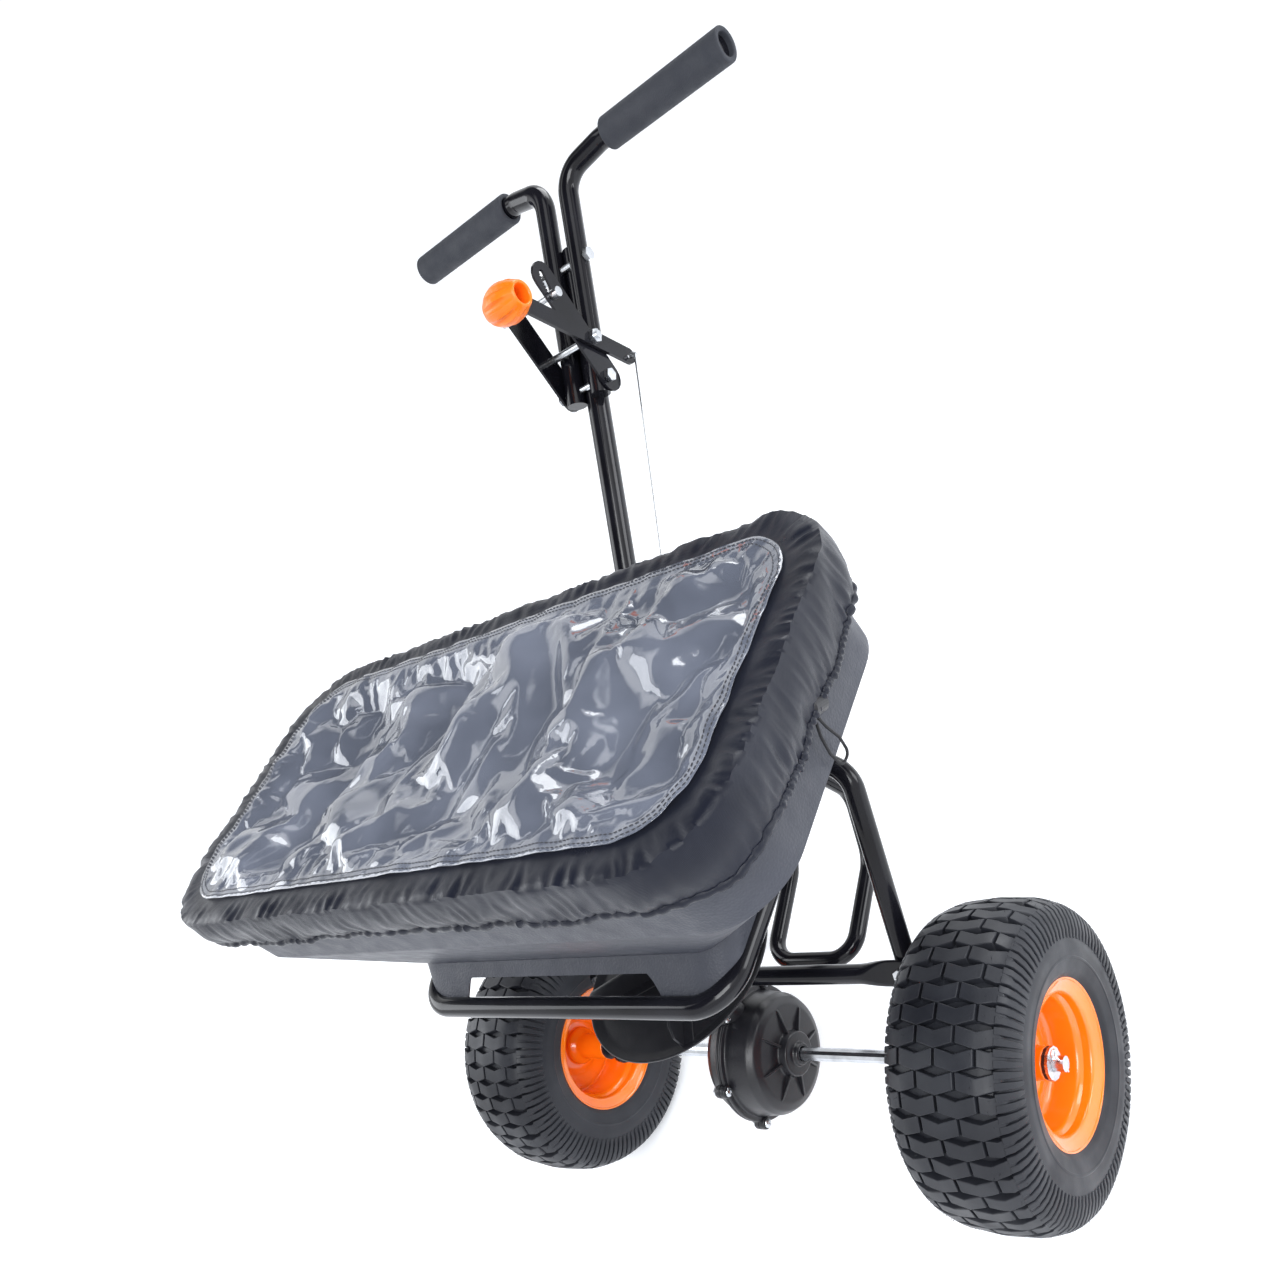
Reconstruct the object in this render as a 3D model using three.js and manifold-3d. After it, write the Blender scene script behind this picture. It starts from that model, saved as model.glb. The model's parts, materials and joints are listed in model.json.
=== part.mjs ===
// Walk-behind broadcast spreader: two turf wheels on a live axle, a bevel gearbox that turns a
// spinner disc, a hopper on a tube frame with a clear-window rain cover, and a T handle with a
// rate lever.
// Millimetres. X is across the machine, -Y is the front, +Y the handle end, +Z is up, z = 0 is
// the ground. Inside the machine group y = 0 is the axle line.
import * as THREE from 'three';
import { mergeVertices } from 'three/addons/utils/BufferGeometryUtils.js';
import Module from 'manifold-3d';

const wasm = await Module();
wasm.setup();

// ---- Driving dimensions ----
const GAP = 0.3; // between touching pieces

const wheel = {
  track: 642, radius: 165, width: 130, rimFlange: 84, rimWell: 66, rimHalf: 56, sheet: 2.6,
  hubRadius: 17, hubBore: 12, hubInner: 62, hubOuter: 34, axleRadius: 8,
};
const axleZ = wheel.radius;
const axleShift = -257.2; // puts the middle of the outline over the origin
const axleHalf = 373;

const tubeR = 11; // 22 mm frame tube
const fine = 24; // facets of the large round pieces
const small = 12; // and of the small ones
const frame = {
  halfWidth: 217, frontY: -111, hopperBarZ: 474, cornerR: 42,
  archX: 226, archTopY: 188, archTopZ: 440, archFootY: 38, archFootZ: 205.6, archBend: 34,
  plateX: 229.3, plateThick: 4, plateRadius: 21, braceUp: 48, boltX: 186,
};
const archSlope = Math.atan2(frame.archTopZ - frame.archFootZ, frame.archTopY - frame.archFootY);

const stand = { radius: 9, kneeY: 84, kneeZ: 164, footY: 262, footZ: 22, footR: 12.5 };
const loop = { halfWidth: 62, footY: 150, footZ: 126 };

const gearbox = { radius: 74, nearHalf: 44, farHalf: 32, wall: 4, flange: 7, boss: 27 };
const shaft = { y: 14, radius: 6, bottomZ: 196, topZ: 500 };
const spinner = { z: 340, radius: 119, thick: 3, rimHeight: 7, finHeight: 34, fins: 4 };

const hopper = {
  rimZ: 708, shoulderZ: 612, creaseZ: 504, floorZ: 446, baseZ: frame.hopperBarZ + tubeR + GAP,
  rimX: 368, rimFront: -133, rimRear: 190, wall: 4.5, lip: 10, lipThick: 4,
};
const gate = { y: -52, length: 96, width: 96, thick: 3, z: 0 };
gate.z = hopper.floorZ - GAP - gate.thick;

const cover = { gap: 4.5, thick: 3, skirt: 32, windowX: 345, windowFront: -112, windowRear: 171, windowThick: 2.5 };

const handle = {
  postR: 12.5, barR: 11, postLow: [349, 629], postTop: [606, 868], grip: [80, 240],
  gripR: 16.5, gripY: 663, gripZ: 929,
  barX: 18.6, barN: 15.1, // the two bars lie side by side on the upper front of the post
};
// Along the post (s) and square to it towards the front (n), from the point where the lever
// bracket sits.
const bracketAt = new THREE.Vector2(502, 769);
const postDir = new THREE.Vector2(
  handle.postTop[0] - handle.postLow[0], handle.postTop[1] - handle.postLow[1]).normalize();
const postNormal = new THREE.Vector2(-postDir.y, postDir.x);
const bracket = { x: handle.barX + handle.barR + GAP, thick: 3, boltS: [-8, 122], pivot: [27.3, 34] };
const lever = {
  x: bracket.x + bracket.thick + GAP + 0.6, thick: 4, width: 17, end: [19, -20], tip: [40.2, 118],
};
const rod = { radius: 2.5, x: lever.x + lever.thick + 9, lowY: 158, lowZ: 451 };

// ---- Looks ----
const look = (color, roughness, metalness = 0, extra = {}) =>
  new THREE.MeshStandardMaterial({ color, roughness, metalness, ...extra });
const gloss = look(0x0b0b0d, 0.18, 0.1);
const orangePaint = look(0xf0620c, 0.2, 0.1);
const orangePlastic = look(0xf46a12, 0.35);
const zinc = look(0xc9ccd0, 0.28, 1);
const steel = look(0xb4b7bb, 0.25, 1);
const rubber = look(0x1b1c1e, 0.75);
const foam = look(0x2a2c30, 0.85);
const hopperPlastic = look(0x3a3c42, 0.6);
const blackPlastic = look(0x17181a, 0.45);
const nylon = look(0x25272d, 0.7);
const clearVinyl = look(0xb9c0cc, 0.08, 0, { transparent: true, opacity: 0.45 });

// ---- Solids ----
const toSolid = (geometry) => {
  const bare = geometry.clone();
  for (const name of Object.keys(bare.attributes)) {
    if (name !== 'position') bare.deleteAttribute(name);
  }
  const merged = mergeVertices(bare, 1e-3);
  return new wasm.Manifold(new wasm.Mesh({
    numProp: 3,
    vertProperties: new Float32Array(merged.attributes.position.array),
    triVerts: new Uint32Array(merged.index.array),
  }));
};
const toGeometry = (solid) => {
  const mesh = solid.getMesh();
  const geometry = new THREE.BufferGeometry();
  geometry.setAttribute('position', new THREE.BufferAttribute(mesh.vertProperties, 3));
  geometry.setIndex(new THREE.BufferAttribute(mesh.triVerts, 1));
  geometry.computeVertexNormals();
  return geometry;
};
const join = (...parts) => toGeometry(parts.map(toSolid).reduce((a, b) => a.add(b)));
const cut = (base, ...tools) =>
  toGeometry(tools.map(toSolid).reduce((a, b) => a.subtract(b), toSolid(base)));

const xyz = (x, y, z) => new THREE.Vector3(x, y, z);
const onPost = (s, n) => bracketAt.clone().addScaledVector(postDir, s).addScaledVector(postNormal, n);

/** A cylinder from one point to another. */
function bar(from, to, radius, sides = small) {
  const axis = to.clone().sub(from);
  const geometry = new THREE.CylinderGeometry(radius, radius, axis.length(), sides);
  geometry.applyQuaternion(
    new THREE.Quaternion().setFromUnitVectors(xyz(0, 1, 0), axis.clone().normalize()));
  const middle = from.clone().add(to).multiplyScalar(0.5);
  return geometry.translate(middle.x, middle.y, middle.z);
}

/** A box between two corners. */
function block(low, high) {
  const size = high.clone().sub(low);
  const middle = low.clone().add(high).multiplyScalar(0.5);
  return new THREE.BoxGeometry(size.x, size.y, size.z).translate(middle.x, middle.y, middle.z);
}

/** A lathed solid about the X axis; the closed profile lists [x, radius] points. */
function latheX(profile, segments = fine) {
  const points = profile.map(([x, r]) => new THREE.Vector2(r, x));
  const [first, last] = [points[0], points[points.length - 1]];
  if (first.x > 0 || last.x > 0) points.push(first.clone());
  const geometry = new THREE.LatheGeometry(points, segments);
  return outward(geometry.rotateZ(-Math.PI / 2));
}

/** The same about the Z axis, with [z, radius] points. */
function latheZ(profile, segments = fine) {
  return latheX(profile, segments).rotateY(-Math.PI / 2);
}

/** Turns a closed mesh the right way out. */
function outward(geometry) {
  const indexed = mergeVertices(stripped(geometry), 1e-3);
  const p = indexed.attributes.position;
  const index = indexed.index.array;
  const [a, b, c] = [xyz(0, 0, 0), xyz(0, 0, 0), xyz(0, 0, 0)];
  let volume = 0;
  const kept = [];
  for (let i = 0; i < index.length; i += 3) {
    const [i0, i1, i2] = [index[i], index[i + 1], index[i + 2]];
    if (i0 === i1 || i1 === i2 || i2 === i0) continue;
    kept.push(i0, i1, i2);
    a.fromBufferAttribute(p, i0);
    b.fromBufferAttribute(p, i1);
    c.fromBufferAttribute(p, i2);
    volume += a.dot(b.cross(c));
  }
  if (volume < 0) {
    for (let i = 0; i < kept.length; i += 3) [kept[i + 1], kept[i + 2]] = [kept[i + 2], kept[i + 1]];
  }
  indexed.setIndex(kept);
  return indexed;
}

function stripped(geometry) {
  const bare = geometry.clone();
  for (const name of Object.keys(bare.attributes)) {
    if (name !== 'position') bare.deleteAttribute(name);
  }
  return bare;
}

/** A flat plate in a plane of constant x, from a closed outline of [y, z] points. */
function plateX(outline, x, thick, holes = []) {
  const shape = new THREE.Shape(outline.map(([y, z]) => new THREE.Vector2(y, z)));
  for (const [y, z, r] of holes) {
    shape.holes.push(new THREE.Path().absarc(y, z, r, 0, Math.PI * 2, true));
  }
  const geometry = new THREE.ExtrudeGeometry(shape, { depth: thick, bevelEnabled: false, curveSegments: 8 });
  // (x, y, z) of the extrusion become (y, z, x) of the machine
  const turn = new THREE.Matrix4().makeBasis(xyz(0, 1, 0), xyz(0, 0, 1), xyz(1, 0, 0));
  return geometry.applyMatrix4(turn).translate(x, 0, 0);
}

/** Outline of a slot-shaped plate between two [y, z] points. */
function stadium([y0, z0], [y1, z1], radius, steps = 8) {
  const heading = Math.atan2(z1 - z0, y1 - y0);
  const points = [];
  for (const [y, z, start] of [[y1, z1, heading - Math.PI / 2], [y0, z0, heading + Math.PI / 2]]) {
    for (let i = 0; i <= steps; i++) {
      const angle = start + (Math.PI * i) / steps;
      points.push([y + radius * Math.cos(angle), z + radius * Math.sin(angle)]);
    }
  }
  return points;
}

/** A centre line through straight runs and round bends. */
function bentLine(points, bendRadius) {
  const path = new THREE.CurvePath();
  let from = points[0];
  for (let i = 1; i < points.length - 1; i++) {
    const radius = Array.isArray(bendRadius) ? bendRadius[i - 1] : bendRadius;
    const back = points[i - 1].clone().sub(points[i]).normalize();
    const ahead = points[i + 1].clone().sub(points[i]).normalize();
    const half = Math.acos(THREE.MathUtils.clamp(back.dot(ahead), -1, 1)) / 2;
    const reach = radius / Math.tan(half);
    const start = points[i].clone().addScaledVector(back, reach);
    const end = points[i].clone().addScaledVector(ahead, reach);
    // a cubic that follows the arc closely
    const hold = (4 / 3) * Math.tan((Math.PI - 2 * half) / 4) * radius;
    path.add(new THREE.LineCurve3(from, start));
    path.add(new THREE.CubicBezierCurve3(
      start, start.clone().addScaledVector(back, -hold), end.clone().addScaledVector(ahead, -hold), end));
    from = end;
  }
  path.add(new THREE.LineCurve3(from, points[points.length - 1]));
  return path;
}

/** Stations along a bent line: close together on its bends, and only the ends of its runs. */
function stations(path, bendSteps) {
  const points = [path.curves[0].getPoint(0)];
  for (const curve of path.curves) {
    const steps = curve.isLineCurve3 ? 1 : bendSteps;
    for (let i = 1; i <= steps; i++) points.push(curve.getPoint(i / steps));
  }
  return points;
}

/** Adds stations on the last stretch before each flattened end. */
function withEndStations(points, flat) {
  const tip = [0, 0.15, 0.4, 1].map((t) => (t * flat.width) / 2);
  const taper = [0, 0.25, 0.5, 0.75, 1].map((t) => flat.reach + t * flat.taper);
  const add = (end, inner) => {
    const dir = inner.clone().sub(end);
    const room = dir.length();
    dir.normalize();
    return [...tip, ...taper].filter((d) => d < room - 1).map((d) => end.clone().addScaledVector(dir, d));
  };
  const out = points.slice();
  if (flat.start) out.splice(0, 1, ...add(points[0], points[1]));
  if (flat.end) {
    const n = out.length;
    out.splice(n - 1, 1, ...add(out[n - 1], out[n - 2]).reverse());
  }
  return out;
}

/**
 * A tube along a bent line. flat, if given, says which ends are pressed flat: the pressed paddle
 * is flat.width wide and flat.thick thick, its face square to up, which is carried along the tube
 * without twist from its start. Its tip is round.
 */
function tube(points, radius, { bend = 40, bendSteps = 5, sides = 10, up = xyz(1, 0, 0), flat } = {}) {
  let line = stations(bentLine(points, bend), bendSteps);
  if (flat) line = withEndStations(line, flat);
  const lengths = [0];
  for (let i = 1; i < line.length; i++) lengths.push(lengths[i - 1] + line[i].distanceTo(line[i - 1]));
  const total = lengths[lengths.length - 1];
  const pressed = (distance) => {
    // 1 on the paddle, falling to 0 where the tube is round again
    const t = THREE.MathUtils.clamp((distance - flat.reach) / flat.taper, 0, 1);
    return 1 - t * t * (3 - 2 * t);
  };
  const section = (distance) => {
    let [wide, thick, power] = [radius, radius, 2];
    const ends = flat ? [flat.start && distance, flat.end && total - distance] : [];
    for (const d of ends.filter((value) => value !== false && value !== undefined)) {
      const k = pressed(d);
      const tip = d < flat.width / 2
        ? Math.sqrt(Math.max(0.04, 1 - ((flat.width / 2 - d) / (flat.width / 2)) ** 2)) : 1;
      wide += (flat.width / 2 - radius) * k;
      wide *= tip;
      thick += (flat.thick / 2 - radius) * k;
      power += 3 * k;
    }
    return [wide, thick, power];
  };
  const positions = [];
  const index = [];
  const depth = up.clone();
  line.forEach((centre, i) => {
    const before = line[Math.max(0, i - 1)];
    const after = line[Math.min(line.length - 1, i + 1)];
    const forward = after.clone().sub(before).normalize();
    // carried along without twist from the start
    depth.addScaledVector(forward, -depth.dot(forward)).normalize();
    const across = forward.clone().cross(depth).normalize();
    const [wide, thick, power] = section(lengths[i]);
    for (let k = 0; k < sides; k++) {
      const angle = (2 * Math.PI * (k + 0.5)) / sides;
      const [c, s] = [Math.cos(angle), Math.sin(angle)];
      const a = Math.sign(c) * Math.abs(c) ** (2 / power) * wide;
      const b = Math.sign(s) * Math.abs(s) ** (2 / power) * thick;
      const point = centre.clone().addScaledVector(across, a).addScaledVector(depth, b);
      positions.push(point.x, point.y, point.z);
    }
  });
  for (let i = 0; i + 1 < line.length; i++) {
    for (let k = 0; k < sides; k++) {
      const [a, b] = [i * sides + k, i * sides + ((k + 1) % sides)];
      index.push(a, b, a + sides, b, b + sides, a + sides);
    }
  }
  const lastRing = (line.length - 1) * sides;
  for (let k = 1; k + 1 < sides; k++) {
    index.push(0, k + 1, k, lastRing, lastRing + k, lastRing + k + 1);
  }
  const geometry = new THREE.BufferGeometry();
  geometry.setAttribute('position', new THREE.Float32BufferAttribute(positions, 3));
  geometry.setIndex(index);
  return outward(geometry);
}

/** Corner-rounded rectangle of [x, y] points, the same count for every size. */
function roundedRect(xLow, xHigh, yLow, yHigh, radius, steps = 5) {
  const points = [];
  const corners = [
    [xHigh - radius, yHigh - radius, 0], [xLow + radius, yHigh - radius, 1],
    [xLow + radius, yLow + radius, 2], [xHigh - radius, yLow + radius, 3],
  ];
  for (const [x, y, quarter] of corners) {
    for (let i = 0; i <= steps; i++) {
      const angle = (quarter + i / steps) * (Math.PI / 2);
      points.push([x + radius * Math.cos(angle), y + radius * Math.sin(angle)]);
    }
  }
  return points;
}

/** A solid through closed outlines of the same point count, each {z, outline}, bottom first. */
function loft(levels) {
  const count = levels[0].outline.length;
  const positions = [];
  const index = [];
  for (const { z, outline } of levels) {
    for (const [x, y] of outline) positions.push(x, y, z);
  }
  for (let i = 0; i + 1 < levels.length; i++) {
    for (let k = 0; k < count; k++) {
      const [a, b] = [i * count + k, i * count + ((k + 1) % count)];
      index.push(a, b, b + count, a, b + count, a + count);
    }
  }
  const top = (levels.length - 1) * count;
  for (let k = 1; k + 1 < count; k++) index.push(0, k + 1, k, top, top + k, top + k + 1);
  const geometry = new THREE.BufferGeometry();
  geometry.setAttribute('position', new THREE.Float32BufferAttribute(positions, 3));
  geometry.setIndex(index);
  return outward(geometry);
}

// ---- The group ----
const machine = new THREE.Group();
machine.position.y = axleShift;

function add(name, geometry, material) {
  const mesh = new THREE.Mesh(geometry, material);
  mesh.name = name;
  machine.add(mesh);
  return mesh;
}

/** Side names: the left hand of someone at the handle, facing the front, is +X. */
const sides = [['left', 1], ['right', -1]];

// ---- Wheels ----
function tyreGeometry() {
  const { radius, width, rimFlange, rimHalf } = wheel;
  const half = width / 2;
  const well = wheel.rimWell + wheel.sheet + GAP;
  const seat = rimFlange - 6;
  const profile = [
    [-rimHalf + 6.5, well], [-rimHalf + 5, seat], [-rimHalf - 4.5, seat + 10], [-half, 116],
    [-half + 3, 140], [-half + 14, 156], [-34, 162.5], [0, radius], [34, 162.5], [half - 14, 156],
    [half - 3, 140], [half, 116], [rimHalf + 4.5, seat + 10], [rimHalf - 5, seat], [rimHalf - 6.5, well],
  ];
  return latheX(profile);
}

function rimGeometry(side) {
  const { rimFlange, rimWell, rimHalf, sheet, hubRadius, hubBore, hubInner, hubOuter } = wheel;
  const flangeIn = rimHalf - 5 - GAP;
  // outer side of the wheel is +x here; the disc is dished in from it
  const profile = [
    [-hubInner, hubBore], [hubOuter, hubBore], [hubOuter, hubRadius], [8, hubRadius + 1], [6, 30],
    [10, 46], [8, rimWell - 8], [12, rimWell - 2], [flangeIn - 14, rimWell - 2], [flangeIn + 1, rimFlange - 5],
    [rimHalf + 1, rimFlange - 2], [rimHalf + 1, rimFlange], [flangeIn + sheet, rimFlange - 7 + GAP],
    [flangeIn, rimWell + sheet], [-flangeIn, rimWell + sheet], [-flangeIn - sheet, rimFlange - 7 + GAP],
    [-rimHalf - 1, rimFlange], [-rimHalf - 1, rimFlange - 2], [-flangeIn - 1, rimFlange - 5],
    [-flangeIn + 14, rimWell - 2], [8, rimWell - 2], [8 - sheet, rimWell - 7], [7 - sheet, 46],
    [3 - sheet, 30], [3, hubRadius + 1], [-8, hubRadius + 9], [-16, hubRadius], [-hubInner, hubRadius],
  ];
  const geometry = latheX(profile);
  return side < 0 ? geometry.rotateZ(Math.PI) : geometry;
}

for (const [name, side] of sides) {
  const x = (side * wheel.track) / 2;
  const place = (geometry) => geometry.translate(x, 0, axleZ);
  add(`tyre_${name}`, place(tyreGeometry()), rubber);
  const stemAt = xyz(side * 9.3, 0, 52);
  const stemHole = bar(stemAt.clone().setX(side * -4), stemAt.clone().setX(side * 22), 4.2, 16);
  add(`rim_${name}`, place(cut(rimGeometry(side), stemHole)), orangePaint);
  const [inBush, outBush] = [-wheel.hubInner - GAP, wheel.hubOuter + GAP];
  const bush = latheX([
    [inBush - 3, wheel.axleRadius + GAP], [outBush + 3, wheel.axleRadius + GAP],
    [outBush + 3, wheel.hubRadius], [outBush, wheel.hubRadius], [outBush, wheel.hubBore - GAP],
    [inBush, wheel.hubBore - GAP], [inBush, wheel.hubRadius], [inBush - 3, wheel.hubRadius],
  ], small);
  add(`wheel_bush_${name}`, place(side < 0 ? bush.rotateZ(Math.PI) : bush), blackPlastic);
  const stem = latheX([
    [-3, 0], [-3, 3.9], [22, 3.9], [22, 3], [26, 3], [26, 4.2], [37, 4], [37.6, 0],
  ], 16);
  add(`valve_stem_${name}`, place((side < 0 ? stem.rotateZ(Math.PI) : stem).translate(0, 0, 52)), rubber);
}

// ---- Axle, washers and cotter pins ----
const cotterX = axleHalf - 4.5;
const cotterHole = (side) => bar(
  xyz(side * cotterX, 0, axleZ - 12), xyz(side * cotterX, 0, axleZ + 12), 1.9, 12);
add('axle', cut(
  bar(xyz(-axleHalf, 0, axleZ), xyz(axleHalf, 0, axleZ), wheel.axleRadius, small),
  cotterHole(1), cotterHole(-1)), steel);
for (const [name, side] of sides) {
  const inner = wheel.track / 2 + wheel.hubOuter + 3 + GAP;
  const washer = latheX([
    [inner, wheel.axleRadius + GAP], [inner + 3, wheel.axleRadius + GAP], [inner + 3, 17], [inner, 17],
  ], small);
  add(`axle_washer_${name}`, (side < 0 ? washer.rotateZ(Math.PI) : washer).translate(0, 0, axleZ), zinc);
  const pin = join(
    bar(xyz(0, 0, -16), xyz(0, 0, 15), 1.6, 8),
    new THREE.TorusGeometry(4.4, 1.6, 6, 12).rotateY(Math.PI / 2).translate(0, 0, 19));
  add(`cotter_pin_${name}`, pin.translate(side * cotterX, 0, axleZ), zinc);
}

// ---- Axle plates, bearings, arch, brace and stand ----
const archBoltAt = [frame.archFootY, frame.archFootZ];
const paddleTip = 15; // from a bolt's middle to the end of its paddle
for (const [name, side] of sides) {
  const inner = side > 0 ? frame.plateX : -frame.plateX - frame.plateThick;
  add(`axle_plate_${name}`, plateX(
    stadium([0, axleZ], archBoltAt, frame.plateRadius), inner, frame.plateThick,
    [[0, axleZ, 13 + GAP], [...archBoltAt, 4.3]]), gloss);
  const x0 = frame.plateX - 5;
  const bearing = latheX([
    [x0, wheel.axleRadius + GAP], [x0 + 26, wheel.axleRadius + GAP], [x0 + 26, 13],
    [frame.plateX + frame.plateThick + GAP + 3, 13], [frame.plateX + frame.plateThick + GAP + 3, 20],
    [frame.plateX + frame.plateThick + GAP, 20], [frame.plateX + frame.plateThick + GAP, 13], [x0, 13],
  ], small);
  add(`axle_bearing_${name}`, (side < 0 ? bearing.rotateZ(Math.PI) : bearing).translate(0, 0, axleZ), blackPlastic);
}

const hexBolt = (at, axis, length, radius = 4) => {
  // head at the start, nut near the end; axis points from head to nut
  const dir = axis.clone().normalize();
  const along = (d) => at.clone().addScaledVector(dir, d);
  return join(
    bar(along(-6), along(-GAP), radius * 1.75, 6), bar(along(-GAP - 0.5), along(length + 8), radius, 16),
    bar(along(length + GAP), along(length + 6.5), radius * 1.75, 6));
};
const drill = (at, axis, length, radius = 4.3) => {
  const dir = axis.clone().normalize();
  return bar(at.clone().addScaledVector(dir, -length), at.clone().addScaledVector(dir, length), radius, 16);
};

const archUp = xyz(0, Math.cos(archSlope), Math.sin(archSlope));
const archFront = xyz(0, -Math.sin(archSlope), Math.cos(archSlope));
const archFlat = 6;
function archGeometry() {
  const foot = (side) => xyz(side * frame.archX, frame.archFootY, frame.archFootZ).addScaledVector(archUp, -paddleTip);
  const top = (side) => xyz(side * frame.archX, frame.archTopY, frame.archTopZ);
  const geometry = tube([foot(-1), top(-1), top(1), foot(1)], tubeR, {
    bend: frame.archBend,
    flat: { start: true, end: true, width: 30, thick: archFlat, reach: paddleTip + frame.plateRadius, taper: 18 },
  });
  const holes = sides.flatMap(([, side]) => [
    drill(xyz(side * frame.archX, ...archBoltAt), xyz(1, 0, 0), 20),
    drill(frameBoltAt(side), xyz(0, 0, 1), 60),
    drill(braceBoltAt(side), archFront, 60),
  ]);
  return cut(geometry, ...holes);
}
const armPaddle = 5; // thickness of the pressed ends that lie on a round tube
const onTube = tubeR + GAP + armPaddle / 2;
const frameBoltAt = (side) => xyz(side * frame.boltX, frame.archTopY, frame.archTopZ + onTube);
const braceBoltAt = (side) => xyz(side * frame.archX, frame.archFootY, frame.archFootZ)
  .addScaledVector(archUp, frame.braceUp).addScaledVector(archFront, onTube);
add('rear_arch', archGeometry(), gloss);

function crossBraceGeometry() {
  const end = (side) => braceBoltAt(side).add(xyz(side * paddleTip, 0, 0));
  const middle = end(1).add(end(-1)).multiplyScalar(0.5);
  const geometry = tube([end(-1), middle, end(1)], tubeR, {
    bend: 10, bendSteps: 1, up: archFront,
    flat: { start: true, end: true, width: 30, thick: armPaddle, reach: 30, taper: 34 },
  });
  return cut(geometry, ...sides.map(([, side]) => drill(braceBoltAt(side), archFront, 20)));
}
add('cross_brace', crossBraceGeometry(), gloss);
for (const [name, side] of sides) {
  add(`brace_bolt_${name}`, hexBolt(
    braceBoltAt(side).addScaledVector(archFront, armPaddle / 2), archFront.clone().negate(),
    2 * tubeR + armPaddle + GAP), zinc);
}

function hopperFrameGeometry() {
  const { halfWidth, frontY, hopperBarZ, cornerR, archTopY } = frame;
  const arm = (side) => [
    frameBoltAt(side).add(xyz(0, paddleTip, 0)), frameBoltAt(side).add(xyz(0, -26, 0)),
    xyz(side * halfWidth, archTopY - 96, hopperBarZ), xyz(side * halfWidth, frontY, hopperBarZ),
  ];
  const geometry = tube([...arm(-1), ...arm(1).reverse()], tubeR, {
    bend: [34, 60, cornerR, cornerR, 60, 34], bendSteps: 5, up: xyz(0, 0, 1),
    flat: { start: true, end: true, width: 30, thick: armPaddle, reach: 28, taper: 20 },
  });
  return cut(geometry, ...sides.map(([, side]) => drill(frameBoltAt(side), xyz(0, 0, 1), 20)));
}
add('hopper_frame', hopperFrameGeometry(), gloss);
for (const [name, side] of sides) {
  add(`frame_bolt_${name}`, hexBolt(
    frameBoltAt(side).add(xyz(0, 0, armPaddle / 2)), xyz(0, 0, -1), 2 * tubeR + armPaddle + GAP), zinc);
}

function rearLoopGeometry() {
  const { halfWidth, footY, footZ } = loop;
  const topZ = frame.archTopZ - onTube;
  const half = (side) => [
    xyz(side * halfWidth, frame.archTopY - 12, topZ), xyz(side * halfWidth, frame.archTopY + 78, topZ),
    xyz(side * halfWidth, 338, 226), xyz(side * halfWidth, 286, 150), xyz(side * halfWidth, footY, footZ),
  ];
  const [left, right] = [half(1), half(-1)];
  const geometry = tube([...left, ...right.reverse()], tubeR, {
    bend: [40, 45, 45, 34, 34, 45, 45, 40], bendSteps: 4, up: xyz(0, 0, 1),
    flat: { start: true, end: true, width: 28, thick: armPaddle, reach: 28, taper: 16 },
  });
  return geometry;
}
add('rear_loop', rearLoopGeometry(), gloss);

const legX = frame.archX - archFlat / 2 - GAP - armPaddle / 2;
for (const [name, side] of sides) {
  const x = side * legX;
  const top = xyz(x, ...archBoltAt);
  const knee = xyz(x, stand.kneeY, stand.kneeZ);
  const end = xyz(x, stand.footY, stand.footZ);
  const start = top.clone().add(top.clone().sub(knee).setLength(paddleTip));
  const leg = tube([start, knee, end], stand.radius, {
    bend: 60, flat: { start: true, width: 26, thick: armPaddle, reach: 36, taper: 16 },
  });
  add(`stand_leg_${name}`, cut(leg, drill(top, xyz(1, 0, 0), 8)), gloss);
  const footBox = block(
    xyz(x - stand.footR, stand.footY - 17, 0), xyz(x + stand.footR, stand.footY + 19, stand.footZ + 13));
  const socketEnd = end.clone().add(end.clone().sub(knee).setLength(GAP));
  add(`stand_foot_${name}`, cut(footBox, bar(knee, socketEnd, stand.radius + GAP)), rubber);
  const outerFace = frame.plateX + frame.plateThick;
  const stackHeight = outerFace - (legX - armPaddle / 2);
  add(`plate_bolt_${name}`, hexBolt(
    xyz(side * outerFace, ...archBoltAt), xyz(-side, 0, 0), stackHeight), zinc);
}

// ---- Gearbox and spinner ----
function gearboxHalf(side, depth) {
  const { radius, wall, flange, boss } = gearbox;
  const shoulder = radius - 8;
  const outer = latheX([
    [GAP / 2, 0], [GAP / 2, radius + flange], [5, radius + flange], [5, radius],
    [depth - 12, radius - 3], [depth - 4, shoulder], [depth, shoulder - 12], [depth, boss],
    [depth + 12, boss - 1], [depth + 12, 13], [depth + 18, 12.5], [depth + 18, 0],
  ], fine);
  const inner = latheX([
    [-1, 0], [-1, radius - wall], [depth - 14, radius - 3 - wall], [depth - wall, shoulder - 14],
    [depth - wall, 0],
  ], fine);
  const bore = bar(xyz(-2, 0, 0), xyz(depth + 20, 0, 0), wheel.axleRadius + GAP, small);
  const collar = bar(xyz(0, shaft.y, radius - 12), xyz(0, shaft.y, radius + 20), 17, small);
  const nearSide = block(xyz(GAP / 2, -200, -200), xyz(200, 200, 200));
  const shaftBore = bar(xyz(0, shaft.y, 20), xyz(0, shaft.y, radius + 30), shaft.radius + GAP);
  const collarHalf = toGeometry(toSolid(collar).intersect(toSolid(nearSide)));
  const geometry = cut(join(outer, collarHalf), inner, bore, shaftBore);
  if (side < 0) geometry.scale(-1, 1, 1);
  return outward(geometry).translate(0, 0, axleZ);
}
add('gearbox_left', gearboxHalf(1, gearbox.nearHalf), blackPlastic);
add('gearbox_right', gearboxHalf(-1, gearbox.farHalf), blackPlastic);

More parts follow.
